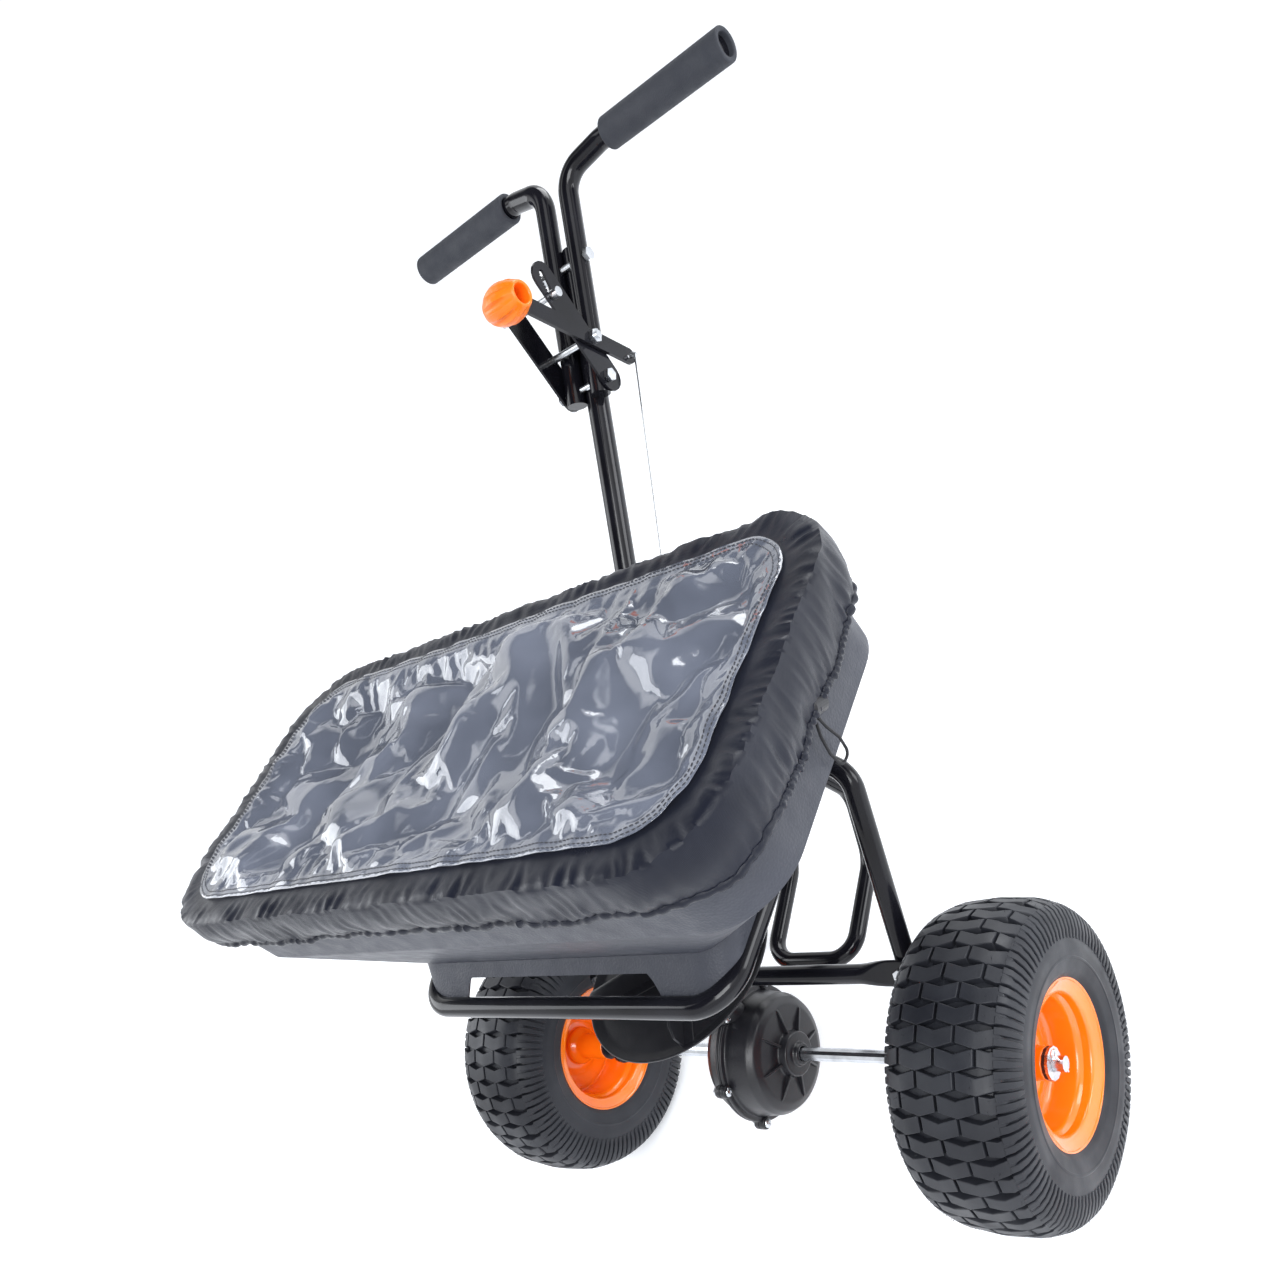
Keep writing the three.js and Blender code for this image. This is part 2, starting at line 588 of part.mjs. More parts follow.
/** A toothed disc about +Z; the teeth stand out radially by toothHeight. */
function toothedDisc(teeth, rootRadius, toothHeight, z0, z1, bore) {
  const shape = new THREE.Shape();
  for (let i = 0; i < teeth; i++) {
    for (const [part, r] of [[0, rootRadius], [0.45, rootRadius], [0.58, rootRadius + toothHeight],
      [0.87, rootRadius + toothHeight]]) {
      const angle = (2 * Math.PI * (i + part)) / teeth;
      const [x, y] = [r * Math.cos(angle), r * Math.sin(angle)];
      if (i === 0 && part === 0) shape.moveTo(x, y);
      else shape.lineTo(x, y);
    }
  }
  shape.closePath();
  shape.holes.push(new THREE.Path().absarc(0, 0, bore, 0, Math.PI * 2, true));
  return new THREE.ExtrudeGeometry(shape, { depth: z1 - z0, bevelEnabled: false, curveSegments: 8 })
    .translate(0, 0, z0);
}
const drive = { crownTeeth: 32, pinionTeeth: 8, crownRadius: 50, pinionRadius: 12, crownX: 17 };
add('drive_gear', outward(join(
  toothedDisc(drive.crownTeeth, drive.crownRadius, 6, drive.crownX, drive.crownX + 8, wheel.axleRadius + GAP),
  latheZ([[drive.crownX + 7, wheel.axleRadius + GAP], [drive.crownX + 20, wheel.axleRadius + GAP],
    [drive.crownX + 20, 15], [drive.crownX + 7, 15]], small))
  .rotateY(Math.PI / 2).translate(0, 0, axleZ)), zinc);
add('pinion', toothedDisc(
  drive.pinionTeeth, drive.pinionRadius - 4.5, 4, shaft.bottomZ + 4, shaft.bottomZ + 18, shaft.radius + GAP)
  .translate(0, shaft.y, 0), zinc);
add('spinner_shaft', bar(xyz(0, shaft.y, shaft.bottomZ), xyz(0, shaft.y, shaft.topZ), shaft.radius), steel);

function spinnerGeometry() {
  const { z, radius, thick, rimHeight, finHeight, fins } = spinner;
  const dish = latheZ([
    [z, shaft.radius + GAP], [z + 36, shaft.radius + GAP], [z + 36, 15], [z + thick + 6, 19],
    [z + thick, 26], [z + thick, radius - 12], [z + rimHeight, radius - 1], [z + rimHeight, radius + 1],
    [z + rimHeight - 2, radius + 1], [z, radius - 10], [z, shaft.radius + GAP],
  ].slice(0, -1), fine);
  const parts = [dish];
  for (let i = 0; i < fins; i++) {
    // an L: the upright blade and its foot on the dish
    const blade = block(xyz(24, -1.5, z + thick - 1), xyz(radius - 6, 1.5, z + finHeight));
    const foot = block(xyz(24, -1, z + thick - 1), xyz(radius - 6, 13, z + thick + 2));
    for (const piece of [blade, foot]) {
      parts.push(piece.rotateZ((2 * Math.PI * (i + 0.32)) / fins));
    }
  }
  return join(...parts).translate(0, shaft.y, 0);
}
add('spinner', spinnerGeometry(), blackPlastic);
add('agitator', join(
  latheZ([[478, shaft.radius + GAP], [494, shaft.radius + GAP], [494, 13], [478, 13]], 24),
  bar(xyz(-10, 0, 486), xyz(-46, 0, 486), 3, 8), bar(xyz(10, 0, 486), xyz(46, 0, 486), 3, 8))
  .translate(0, shaft.y, 0), zinc);

// ---- Hopper and gate ----
const hopperLevels = (inset) => {
  const { rimX, rimFront, rimRear, rimZ, shoulderZ, creaseZ, floorZ } = hopper;
  const level = (z, x, front, rear, radius) => ({
    z, outline: roundedRect(-x + inset, x - inset, front + inset, rear - inset, radius - inset),
  });
  return [
    level(floorZ + inset, 92, -58, 74, 16), level(creaseZ, 226, -74, 142, 40),
    level(shoulderZ, rimX + 1, rimFront + 6, rimRear - 6, 66),
    level(rimZ + (inset ? 1 : 0), rimX, rimFront, rimRear, 70),
  ];
};
function hopperGeometry() {
  const { rimX, rimFront, rimRear, rimZ, wall, lip, lipThick, creaseZ, baseZ, floorZ } = hopper;
  const lipSolid = loft([
    { z: rimZ - lipThick, outline: roundedRect(-rimX - lip, rimX + lip, rimFront - lip, rimRear + lip, 70 + lip) },
    { z: rimZ, outline: roundedRect(-rimX - lip, rimX + lip, rimFront - lip, rimRear + lip, 70 + lip) },
  ]);
  // the apron flares out from the crease and stands on the hopper bar
  const apron = (inset) => loft([
    { z: baseZ - (inset ? 1 : 0), outline: roundedRect(-220 + inset, 220 - inset, -114 + inset, 143 - inset, 40) },
    { z: creaseZ + 6 + (inset ? 1 : 0), outline: roundedRect(-227 + inset, 227 - inset, -75 + inset, 143 - inset, 40) },
  ]);
  const apronShell = cut(apron(0), apron(wall));
  const arch = loft([
    { z: baseZ - 5, outline: roundedRect(-150, 150, -200, 0, 2) },
    { z: creaseZ - 9, outline: roundedRect(-128, 128, -200, 0, 2) },
  ]);
  const rearNotch = block(xyz(-120, 90, baseZ - 5), xyz(120, 260, creaseZ - 7));
  const port = (x, y) => bar(xyz(x, y, floorZ - 5), xyz(x, y, floorZ + 20), 12, 24);
  const shaftHole = bar(xyz(0, shaft.y, floorZ - 5), xyz(0, shaft.y, floorZ + 20), shaft.radius + 1, 24);
  const ports = [port(-34, -36), port(0, -38), port(34, -36)];
  const body = cut(join(loft(hopperLevels(0)), lipSolid), loft(hopperLevels(wall)), shaftHole, ...ports);
  return join(body, cut(apronShell, loft(hopperLevels(wall / 2)), arch, rearNotch));
}
add('hopper', hopperGeometry(), hopperPlastic);

const gateTravel = { open: 22, shut: 11 }; // to the rear and to the front of where it rests
add('gate_plate', cut(
  join(
    block(xyz(-gate.width / 2, gate.y, gate.z), xyz(gate.width / 2, gate.y + gate.length, gate.z + gate.thick)),
    block(xyz(32, gate.y + gate.length - 1, gate.z), xyz(47, 146, gate.z + gate.thick)),
    block(xyz(32, 112, gate.z), xyz(60, 146, gate.z + gate.thick))),
  // the slot that lets the plate slide past the shaft
  block(
    xyz(-shaft.radius - 1.5, shaft.y - shaft.radius - gateTravel.open - 2, gate.z - 5),
    xyz(shaft.radius + 1.5, shaft.y + shaft.radius + gateTravel.shut + 2, gate.z + 9)),
), zinc);
function gateGuideGeometry() {
  const inner = gate.width / 2;
  const [low, high] = [gate.z - GAP - 2.5, hopper.floorZ - GAP];
  const outline = [
    [inner - 7, low], [inner + 12, low], [inner + 12, high], [inner + GAP, high],
    [inner + GAP, low + 2.5], [inner - 7, low + 2.5],
  ];
  const rails = sides.map(([, side]) => {
    const shape = new THREE.Shape(outline.map(([x, z]) => new THREE.Vector2(side * x, z)));
    return outward(new THREE.ExtrudeGeometry(shape, { depth: 96, bevelEnabled: false })
      .rotateX(Math.PI / 2).translate(0, 44, 0));
  });
  return join(...rails, block(xyz(-inner, -50, low), xyz(inner, -40, low + 2.5)));
}
add('gate_guide', gateGuideGeometry(), blackPlastic);

// ---- Handle ----
function postGeometry() {
  const [lowY, lowZ] = handle.postLow;
  const foot = xyz(0, frame.archTopY + onTube, frame.archTopZ - paddleTip);
  const knee = xyz(0, frame.archTopY + onTube, frame.archTopZ + 68);
  const turn = onPost(-220, 0);
  return cut(
    tube([foot, knee, xyz(0, lowY - 60, lowZ - 56), xyz(0, turn.x, turn.y), xyz(0, ...handle.postTop)],
      handle.postR, {
        bend: [60, 120, 200], bendSteps: 4, up: xyz(0, 1, 0),
        flat: { start: true, width: 32, thick: armPaddle, reach: 28, taper: 24 },
      }),
    ...bracket.boltS.map((s) => drill(xyz(0, ...onPost(s, handle.barN)), xyz(1, 0, 0), 60)));
}
add('post', postGeometry(), gloss);

function handlebarGeometry(side) {
  const { barX, barN, barR, gripY, gripZ, grip } = handle;
  const low = onPost(-22, barN);
  const high = onPost(212, barN);
  return cut(
    tube([
      xyz(side * barX, low.x, low.y), xyz(side * barX, high.x, high.y),
      xyz(side * (grip[0] - 12), gripY, gripZ), xyz(side * (grip[1] - 6), gripY, gripZ),
    ], barR, { bend: [30, 24], bendSteps: 6, up: xyz(0, -0.7, 0.7) }),
    ...bracket.boltS.map((s) => drill(xyz(0, ...onPost(s, barN)), xyz(1, 0, 0), 60)));
}
for (const [name, side] of sides) {
  const { gripR, barR, grip, gripY, gripZ } = handle;
  add(`handlebar_${name}`, handlebarGeometry(side), gloss);
  // a foam sleeve, open at its outer end
  const sleeve = latheX([
    [grip[0], barR + GAP], [grip[1], barR + GAP], [grip[1], gripR - 2], [grip[1] - 2, gripR],
    [grip[0] + 2, gripR], [grip[0], gripR - 2],
  ], 24);
  add(`grip_${name}`, (side < 0 ? sleeve.rotateZ(Math.PI) : sleeve).translate(0, gripY, gripZ), foam);
}

// ---- Rate lever, its bracket, the control rod and the stop ----
const stopSlot = { from: [62, 80], to: [82, 90], teeth: 7 };
/** The row of teeth along the upper edge of the stop's slot. */
function slotTeeth() {
  const from = onPost(...stopSlot.from);
  const run = onPost(...stopSlot.to).sub(from);
  const up = new THREE.Vector2(-run.y, run.x).normalize();
  const place = (t, height) => from.clone().addScaledVector(run, t).addScaledVector(up, height).toArray();
  const row = [];
  for (let i = 0; i <= 2 * stopSlot.teeth; i++) row.push(place(i / (2 * stopSlot.teeth), i % 2 ? 5.2 : 1));
  return [place(1, -1), ...row.reverse(), place(0, -1)];
}
function bracketPlate(side) {
  const x = side > 0 ? bracket.x : -bracket.x - bracket.thick;
  const holes = [[...onPost(bracket.boltS[0], handle.barN), 4.3], [...onPost(...bracket.pivot), 4.3]];
  const outline = stadium(onPost(-8, 10).toArray(), onPost(80, 88).toArray(), 14.5);
  const slot = stadium(onPost(...stopSlot.from).toArray(), onPost(...stopSlot.to).toArray(), 3.4);
  return cut(
    plateX(outline, x, bracket.thick, holes), plateX(slot, x - 5, 14), plateX(slotTeeth(), x - 5, 14));
}
for (const [name, side] of sides) add(`lever_bracket_${name}`, bracketPlate(side), gloss);
const barOuter = handle.barX + handle.barR;
[['low', bracket.x + bracket.thick], ['high', barOuter]].forEach(([name, outer], i) => {
  const s = bracket.boltS[i];
  add(`bracket_bolt_${name}`, hexBolt(
    xyz(outer, ...onPost(s, handle.barN)), xyz(-1, 0, 0), 2 * outer), zinc);
});
const pivotAt = (x) => xyz(x, ...onPost(...bracket.pivot));
add('pivot_bolt', join(
  bar(pivotAt(lever.x + lever.thick + GAP), pivotAt(lever.x + lever.thick + 6), 7.5, 6),
  bar(pivotAt(-bracket.x - bracket.thick - 8), pivotAt(lever.x + lever.thick + 9), 4, 16),
), zinc);

/** The lever's flat shape, larger by grow on every side. */
const leverBar = (grow, holes = []) => plateX(
  stadium(onPost(...lever.end).toArray(), onPost(...lever.tip).toArray(), lever.width / 2 + grow),
  lever.x - grow, lever.thick + 2 * grow, holes);
add('control_lever', leverBar(
  0, [[...onPost(...lever.end), 3.3], [...onPost(...bracket.pivot), 4.3]]), gloss);

/** A fluted oval across the lever, open at its outer end, with a slot that takes the lever's tip. */
function knobGeometry() {
  const length = 50;
  const boreR = 9.5;
  const points = [
    [0, 0], [10, 0], [13.5, 3], [18.5, 13], [20.5, 25], [18, 38], [13.5, 48], [12, length],
    [boreR, length - 1], [boreR, 22], [0, 22],
  ].map(([r, along]) => new THREE.Vector2(r, along));
  const oval = outward(new THREE.LatheGeometry(points, 24));
  const p = oval.attributes.position;
  for (let i = 0; i < p.count; i++) {
    const flute = Math.cos(8 * Math.atan2(p.getZ(i), p.getX(i))) > 0.3 ? 0 : 0.1;
    const depth = 1 - flute * Math.max(0, Math.sin(Math.PI * p.getY(i) / length));
    const inBore = Math.hypot(p.getX(i), p.getZ(i)) < boreR + 0.2;
    if (!inBore) p.setXYZ(i, p.getX(i) * depth, p.getY(i), p.getZ(i) * depth);
  }
  const leverDir = onPost(...lever.tip).sub(onPost(...lever.end)).normalize();
  const centre = onPost(...lever.tip).addScaledVector(leverDir, lever.width / 2 + boreR + 2);
  oval.rotateZ(-Math.PI / 2).translate(lever.x + lever.thick / 2 + 14 - length, centre.x, centre.y);
  return cut(oval, leverBar(GAP));
}
add('lever_knob', knobGeometry(), orangePlastic);

function controlRodGeometry() {
  const end = onPost(...lever.end);
  const nearX = lever.x + lever.thick + 2 * GAP;
  return tube([
    xyz(nearX, end.x, end.y), xyz(rod.x, end.x, end.y), xyz(rod.x, rod.lowY + 20, rod.lowZ + 16),
    xyz(rod.x, rod.lowY, rod.lowZ), xyz(rod.x, rod.lowY - 22, rod.lowZ)], rod.radius, {
    bend: [4, 10, 10], bendSteps: 4, sides: 10, up: xyz(0, 0.4, 0.9),
  });
}
add('control_rod', controlRodGeometry(), zinc);

const stopAt = (t) => new THREE.Vector2(...stopSlot.from).lerp(new THREE.Vector2(...stopSlot.to), t);
const stopPlace = onPost(...stopAt(0).toArray());
add('rate_stop', join(
  bar(xyz(-bracket.x - bracket.thick - 12, ...stopPlace), xyz(bracket.x + bracket.thick + 2, ...stopPlace), 3, 16),
  bar(xyz(bracket.x + bracket.thick + GAP, ...stopPlace), xyz(lever.x + lever.thick + 5, ...stopPlace), 5, 20),
), zinc);

// ---- Rain cover, window, drawcord and cord lock ----
const coverOutline = (grow) => roundedRect(
  -hopper.rimX - hopper.lip - grow, hopper.rimX + hopper.lip + grow,
  hopper.rimFront - hopper.lip - grow, hopper.rimRear + hopper.lip + grow, 70 + hopper.lip + grow);
const windowOutline = (grow) => {
  const { windowX, windowFront, windowRear } = cover;
  return roundedRect(-windowX - grow, windowX + grow, windowFront - grow, windowRear + grow, 56 + grow);
};
const coverBase = hopper.rimZ + cover.gap;
const coverTop = coverBase + cover.thick;
function coverGeometry() {
  const shell = (grow, top, drop) => loft([
    { z: hopper.rimZ - cover.skirt - drop, outline: coverOutline(grow) }, { z: top, outline: coverOutline(grow) },
  ]);
  const opening = loft([
    { z: coverBase - 20, outline: windowOutline(GAP) }, { z: coverTop + 20, outline: windowOutline(GAP) },
  ]);
  return cut(shell(cover.gap + cover.thick, coverTop, 0), shell(cover.gap, coverBase, 1), opening);
}
add('cover_fabric', coverGeometry(), nylon);
add('cover_window', loft([
  { z: coverBase, outline: windowOutline(0) },
  { z: coverBase + cover.windowThick, outline: windowOutline(0) },
]), clearVinyl);

const lock = { x: hopper.rimX + 9.3, y: 32, z: hopper.rimZ - cover.skirt - 16, radius: 8 };
const lockGeometry = cut(
  latheZ([[-10, 0], [-10, lock.radius - 2], [-8, lock.radius], [8, lock.radius], [10, lock.radius - 2], [10, 0]], 24),
  bar(xyz(0, 0, -7), xyz(0, 0, 16), 5.3, 16), bar(xyz(0, -20, 2), xyz(0, 20, 2), 2.6, 12));
add('cord_lock', lockGeometry.rotateX(Math.PI / 3).translate(lock.x, lock.y, lock.z), blackPlastic);
const plunger = cut(
  latheZ([[0, 0], [0, 5], [17, 5], [18, 3.8], [18, 0]], 20),
  bar(xyz(0, -20, 4), xyz(0, 20, 4), 2.9, 12));
add('cord_lock_plunger', outward(plunger).translate(0, 0, -2).rotateX(Math.PI / 3)
  .translate(lock.x, lock.y, lock.z), blackPlastic);

// the free loop of the drawcord hangs from the lock's lower mouth
const cord = { radius: 1.2, strand: 1.35, drop: 44, spread: 8 };
function drawcordGeometry() {
  const lean = xyz(0, Math.cos(Math.PI / 3), Math.sin(Math.PI / 3)); // the way through the lock
  const mouth = xyz(lock.x, lock.y, lock.z).addScaledVector(lean, -lock.radius - 0.6)
    .add(xyz(0, -Math.sin(Math.PI / 3), Math.cos(Math.PI / 3)).multiplyScalar(2));
  const strand = (side) => [
    mouth.clone().add(xyz(side * cord.strand, 0, 0)),
    mouth.clone().add(xyz(side * cord.strand, side * cord.spread * 0.5 - 3, -12)),
    mouth.clone().add(xyz(side * cord.strand, side * cord.spread - 3, -28)),
    mouth.clone().add(xyz(side * cord.strand * 0.5, side * cord.spread * 0.8 - 3, -cord.drop)),
  ];
  return tube([...strand(1), ...strand(-1).reverse()], cord.radius, {
    bend: [6, 8, 5.5, 5.5, 8, 6], bendSteps: 3, sides: 8,
  });
}
add('drawcord', drawcordGeometry(), nylon);

const root = new THREE.Group();
root.add(machine);
export default root;
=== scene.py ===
"""A walk-behind broadcast spreader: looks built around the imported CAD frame. Blender 4.5."""
import json
import math
import random

import bmesh
import bpy
from mathutils import Matrix, Vector, geometry, noise


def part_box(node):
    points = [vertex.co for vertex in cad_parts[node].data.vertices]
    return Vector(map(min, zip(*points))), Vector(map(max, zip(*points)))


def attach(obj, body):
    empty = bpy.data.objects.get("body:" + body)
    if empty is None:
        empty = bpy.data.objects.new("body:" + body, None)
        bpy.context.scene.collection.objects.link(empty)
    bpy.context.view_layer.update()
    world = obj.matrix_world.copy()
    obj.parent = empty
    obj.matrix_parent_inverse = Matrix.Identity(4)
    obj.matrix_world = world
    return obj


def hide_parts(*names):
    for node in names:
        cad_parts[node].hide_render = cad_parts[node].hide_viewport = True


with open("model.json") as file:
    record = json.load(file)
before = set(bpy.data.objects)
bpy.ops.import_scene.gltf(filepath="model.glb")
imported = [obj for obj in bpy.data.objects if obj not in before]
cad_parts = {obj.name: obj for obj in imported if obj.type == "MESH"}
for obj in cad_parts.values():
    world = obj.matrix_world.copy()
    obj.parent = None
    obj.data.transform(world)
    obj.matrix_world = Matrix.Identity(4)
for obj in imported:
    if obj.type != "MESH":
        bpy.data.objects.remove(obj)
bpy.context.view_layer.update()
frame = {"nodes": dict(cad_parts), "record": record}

MM = 0.001
nodes = frame["nodes"]
axle_low, axle_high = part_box("axle")
AXLE_Y = (axle_low.y + axle_high.y) / 2
AXLE_Z = (axle_low.z + axle_high.z) / 2
SIDES = {"left": 1, "right": -1}
BODY = {n: body for body, members in frame["record"]["behaviour"]["bodies"].items() for n in members}


def at(x, y, z):
    """A point given in millimetres from the axle line and the ground, in the row frame."""
    return Vector((x * MM, y * MM + AXLE_Y, z * MM))


# ---- Camera ----
def make_camera():
    camera = bpy.data.objects.new("camera", bpy.data.cameras.new("camera"))
    bpy.context.scene.collection.objects.link(camera)
    right = Vector((0.744, 0.326, -0.584)).normalized()
    forward = Vector((-0.662, 0.485, -0.572))
    forward = (forward - right * forward.dot(right)).normalized()
    up = right.cross(forward)
    turn = Matrix((right, up, -forward)).transposed()
    camera.matrix_world = Matrix.Translation((0.81375, -0.71213, 1.10059)) @ turn.to_4x4()
    camera.data.sensor_width = 36
    camera.data.lens = 30.5
    camera.data.shift_x = -0.0363
    camera.data.shift_y = 0.1593
    camera.data.clip_start = 0.02
    bpy.context.scene.camera = camera


make_camera()


# ---- Materials ----
class Look:
    """A node material under construction, around one Principled shader."""

    def __init__(self, name, color, roughness, metallic=0.0, **sockets):
        self.material = bpy.data.materials.new(name)
        self.material.use_nodes = True
        self.tree = self.material.node_tree
        self.shader = self.tree.nodes["Principled BSDF"]
        self.shader.inputs["Base Color"].default_value = (*color, 1)
        self.shader.inputs["Roughness"].default_value = roughness
        self.shader.inputs["Metallic"].default_value = metallic
        for key, value in sockets.items():
            self.shader.inputs[key.replace("_", " ")].default_value = value
        self.place = self.tree.nodes.new("ShaderNodeTexCoord").outputs["Object"]
        self.color = color
        self.roughness = roughness
        self.normal = None

    def node(self, kind, **values):
        made = self.tree.nodes.new(kind)
        for key, value in values.items():
            if hasattr(made, key):
                setattr(made, key, value)
            else:
                made.inputs[key].default_value = value
        return made

    def link(self, a, b):
        self.tree.links.new(a, b)

    def stretched(self, scale):
        mapping = self.node("ShaderNodeMapping", Scale=scale)
        self.link(self.place, mapping.inputs["Vector"])
        return mapping.outputs["Vector"]

    def noise(self, scale, detail=4.0, stretch=(1, 1, 1)):
        made = self.node("ShaderNodeTexNoise", Scale=scale, Detail=detail)
        self.link(self.stretched(stretch), made.inputs["Vector"])
        return made.outputs["Fac"]

    def cells(self, scale):
        made = self.node("ShaderNodeTexVoronoi", Scale=scale)
        self.link(self.place, made.inputs["Vector"])
        return made.outputs["Distance"]

    def mottled(self, scale, other, low=0.35, high=0.7):
        """The base colour drifts towards another one in patches."""
        ramp = self.node("ShaderNodeMapRange")
        ramp.inputs["From Min"].default_value = low
        ramp.inputs["From Max"].default_value = high
        self.link(self.noise(scale), ramp.inputs["Value"])
        mix = self.node("ShaderNodeMix", data_type="RGBA")
        mix.inputs[6].default_value = (*self.color, 1)
        mix.inputs[7].default_value = (*other, 1)
        self.link(ramp.outputs["Result"], mix.inputs[0])
        self.link(mix.outputs[2], self.shader.inputs["Base Color"])
        return self

    def uneven(self, scale, low, high, stretch=(1, 1, 1)):
        """Roughness drifts between two values."""
        ramp = self.node("ShaderNodeMapRange")
        ramp.inputs["From Min"].default_value = 0.3
        ramp.inputs["From Max"].default_value = 0.7
        ramp.inputs["To Min"].default_value = low
        ramp.inputs["To Max"].default_value = high
        self.link(self.noise(scale, 5, stretch), ramp.inputs["Value"])
        self.link(ramp.outputs["Result"], self.shader.inputs["Roughness"])
        return self

    def bumped(self, height, strength, distance):
        bump = self.node("ShaderNodeBump", Strength=strength, Distance=distance)
        self.link(height, bump.inputs["Height"])
        if self.normal is not None:
            self.link(self.normal, bump.inputs["Normal"])
        self.normal = bump.outputs["Normal"]
        self.link(self.normal, self.shader.inputs["Normal"])
        return self


def weave(look, pitch, strength):
    """A plain weave: two sets of fine ribs."""
    total = None
    for axis in ("X", "Y", "Z"):
        wave = look.node("ShaderNodeTexWave", Scale=math.pi / (10 * pitch), bands_direction=axis)
        look.link(look.place, wave.inputs["Vector"])
        if total is None:
            total = wave.outputs["Fac"]
            continue
        add = look.node("ShaderNodeMath", operation="ADD")
        look.link(total, add.inputs[0])
        look.link(wave.outputs["Fac"], add.inputs[1])
        total = add.outputs[0]
    return look.bumped(total, strength, 0.0002)


def tyre_look():
    look = Look("tyre_rubber", (0.013, 0.014, 0.019), 0.46, Specular_IOR_Level=0.34)
    look.mottled(14, (0.026, 0.028, 0.035)).uneven(30, 0.36, 0.58)
    return look.bumped(look.noise(900), 0.25, 0.0003).material


def paint_look(name, color, patch):
    look = Look(name, color, 0.16, Coat_Weight=0.7, Coat_Roughness=0.04)
    look.mottled(9, patch).uneven(22, 0.12, 0.26)
    return look.bumped(look.noise(160, 2), 0.06, 0.0004).material


def gloss_black_look():
    look = Look("gloss_black", (0.004, 0.004, 0.006), 0.12, Specular_IOR_Level=0.34)
    look.mottled(18, (0.009, 0.009, 0.013)).uneven(40, 0.08, 0.18)
    return look.bumped(look.noise(260, 3), 0.08, 0.0003).material


def metal_look(name, color, roughness, stretch):
    look = Look(name, color, roughness, 1.0)
    look.mottled(60, tuple(c * 0.72 for c in color)).uneven(90, roughness * 0.7, roughness * 1.5, stretch)
    return look.bumped(look.noise(500, 3, stretch), 0.12, 0.0002).material


def moulded_look(name, color, other, roughness, grain, depth):
    look = Look(name, color, roughness)
    look.mottled(7, other).uneven(60, roughness * 0.85, roughness * 1.15)
    look.bumped(look.cells(grain), 0.5, depth)
    return look.bumped(look.noise(grain * 1.7, 3), 0.3, depth * 0.6).material


def nylon_look():
    look = Look("nylon", (0.006, 0.0075, 0.015), 0.34, Specular_IOR_Level=0.27)
    look.mottled(16, (0.01, 0.012, 0.022)).uneven(26, 0.27, 0.42)
    look = weave(look, 0.0007, 0.22)
    return look.bumped(look.noise(70, 4), 0.12, 0.0015).material


def vinyl_look():
    # painted reflection: the clear film's pale blue-grey base colour and its paler patches stand in for a
    # bright room reflected in it
    look = Look(
        "clear_vinyl", (0.15, 0.168, 0.22), 0.07, Coat_Weight=1.0, Coat_Roughness=0.03, Coat_IOR=1.7,
        IOR=1.9, Alpha=0.6)
    look.mottled(10, (0.24, 0.265, 0.34), 0.4, 0.65).uneven(20, 0.05, 0.14)
    look.bumped(look.noise(90, 4), 0.08, 0.001)
    return look.material


LOOKS = {
    "tyre_rubber": tyre_look(),
    "rim_paint": paint_look("rim_paint", (1.0, 0.22, 0.006), (0.95, 0.17, 0.004)),
    "gloss_black": gloss_black_look(),
    "zinc": metal_look("zinc", (0.7, 0.72, 0.75), 0.24, (1, 1, 1)),
    "axle_steel": metal_look("axle_steel", (0.66, 0.68, 0.72), 0.2, (0.05, 1, 1)),
    "black_plastic": moulded_look(
        "black_plastic", (0.008, 0.008, 0.011), (0.014, 0.014, 0.018), 0.34, 700, 0.0002),
    "hopper_plastic": moulded_look(
        "hopper_plastic", (0.03, 0.033, 0.046), (0.037, 0.041, 0.057), 0.5, 420, 0.0006),
    "knob_plastic": moulded_look("knob_plastic", (0.95, 0.2, 0.008), (0.9, 0.16, 0.006), 0.3, 500, 0.0001),
    "foam": moulded_look("foam", (0.022, 0.025, 0.034), (0.03, 0.033, 0.043), 0.75, 800, 0.0005),
    "foot_rubber": moulded_look(
        "foot_rubber", (0.015, 0.015, 0.018), (0.024, 0.024, 0.028), 0.55, 600, 0.0003),
    "nylon": nylon_look(),
    "clear_vinyl": vinyl_look(),
    "cord_elastic": weave(Look("cord_elastic", (0.012, 0.012, 0.015), 0.6), 0.0005, 0.8).material,
}
THREAD = Look("thread", (0.03, 0.03, 0.035), 0.6)
THREAD.mottled(300, (0.06, 0.06, 0.07)).bumped(THREAD.noise(2000, 2), 0.4, 0.0002)

SLOT = {s["node"]: s["material_slot"] for s in frame["record"]["subparts"]}
SMOOTH_BELOW = math.radians(40)


def shade(mesh, limit=SMOOTH_BELOW):
    """Smooth shading with crisp edges above an angle."""
    mesh.polygons.foreach_set("use_smooth", [True] * len(mesh.polygons))
    mesh.set_sharp_from_angle(angle=limit)


for name, obj in nodes.items():
    obj.data.materials.clear()
    obj.data.materials.append(LOOKS[SLOT[name]])
    shade(obj.data)


# ---- Making pieces ----
def piece(name, points, faces, slot, body, replaces=(), limit=SMOOTH_BELOW, material=None):
    mesh = bpy.data.meshes.new(name)
    mesh.from_pydata([tuple(p) for p in points], [], faces)
    mesh.validate()
    mesh.update()
    obj = bpy.data.objects.new(name, mesh)
    bpy.context.scene.collection.objects.link(obj)
    mesh.materials.append(material or LOOKS[slot])
    shade(mesh, limit)
    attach(obj, body)
    if replaces:
        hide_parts(*replaces)
    return obj


def rounded(profile, radius, steps=4, closed=True):
    """A profile with its corners rounded."""
    points = [Vector(p) for p in profile]
    count = len(points)
    out = []
    for i, corner in enumerate(points):
        if not closed and i in (0, count - 1):
            out.append(corner)
            continue
        back = points[i - 1] - corner
        ahead = points[(i + 1) % count] - corner
        r = min(radius, back.length * 0.45, ahead.length * 0.45)
        start = corner + back.normalized() * r
        end = corner + ahead.normalized() * r
        for k in range(steps + 1):
            t = k / steps
            out.append(start * (1 - t) ** 2 + corner * (2 * t * (1 - t)) + end * t ** 2)
    return out


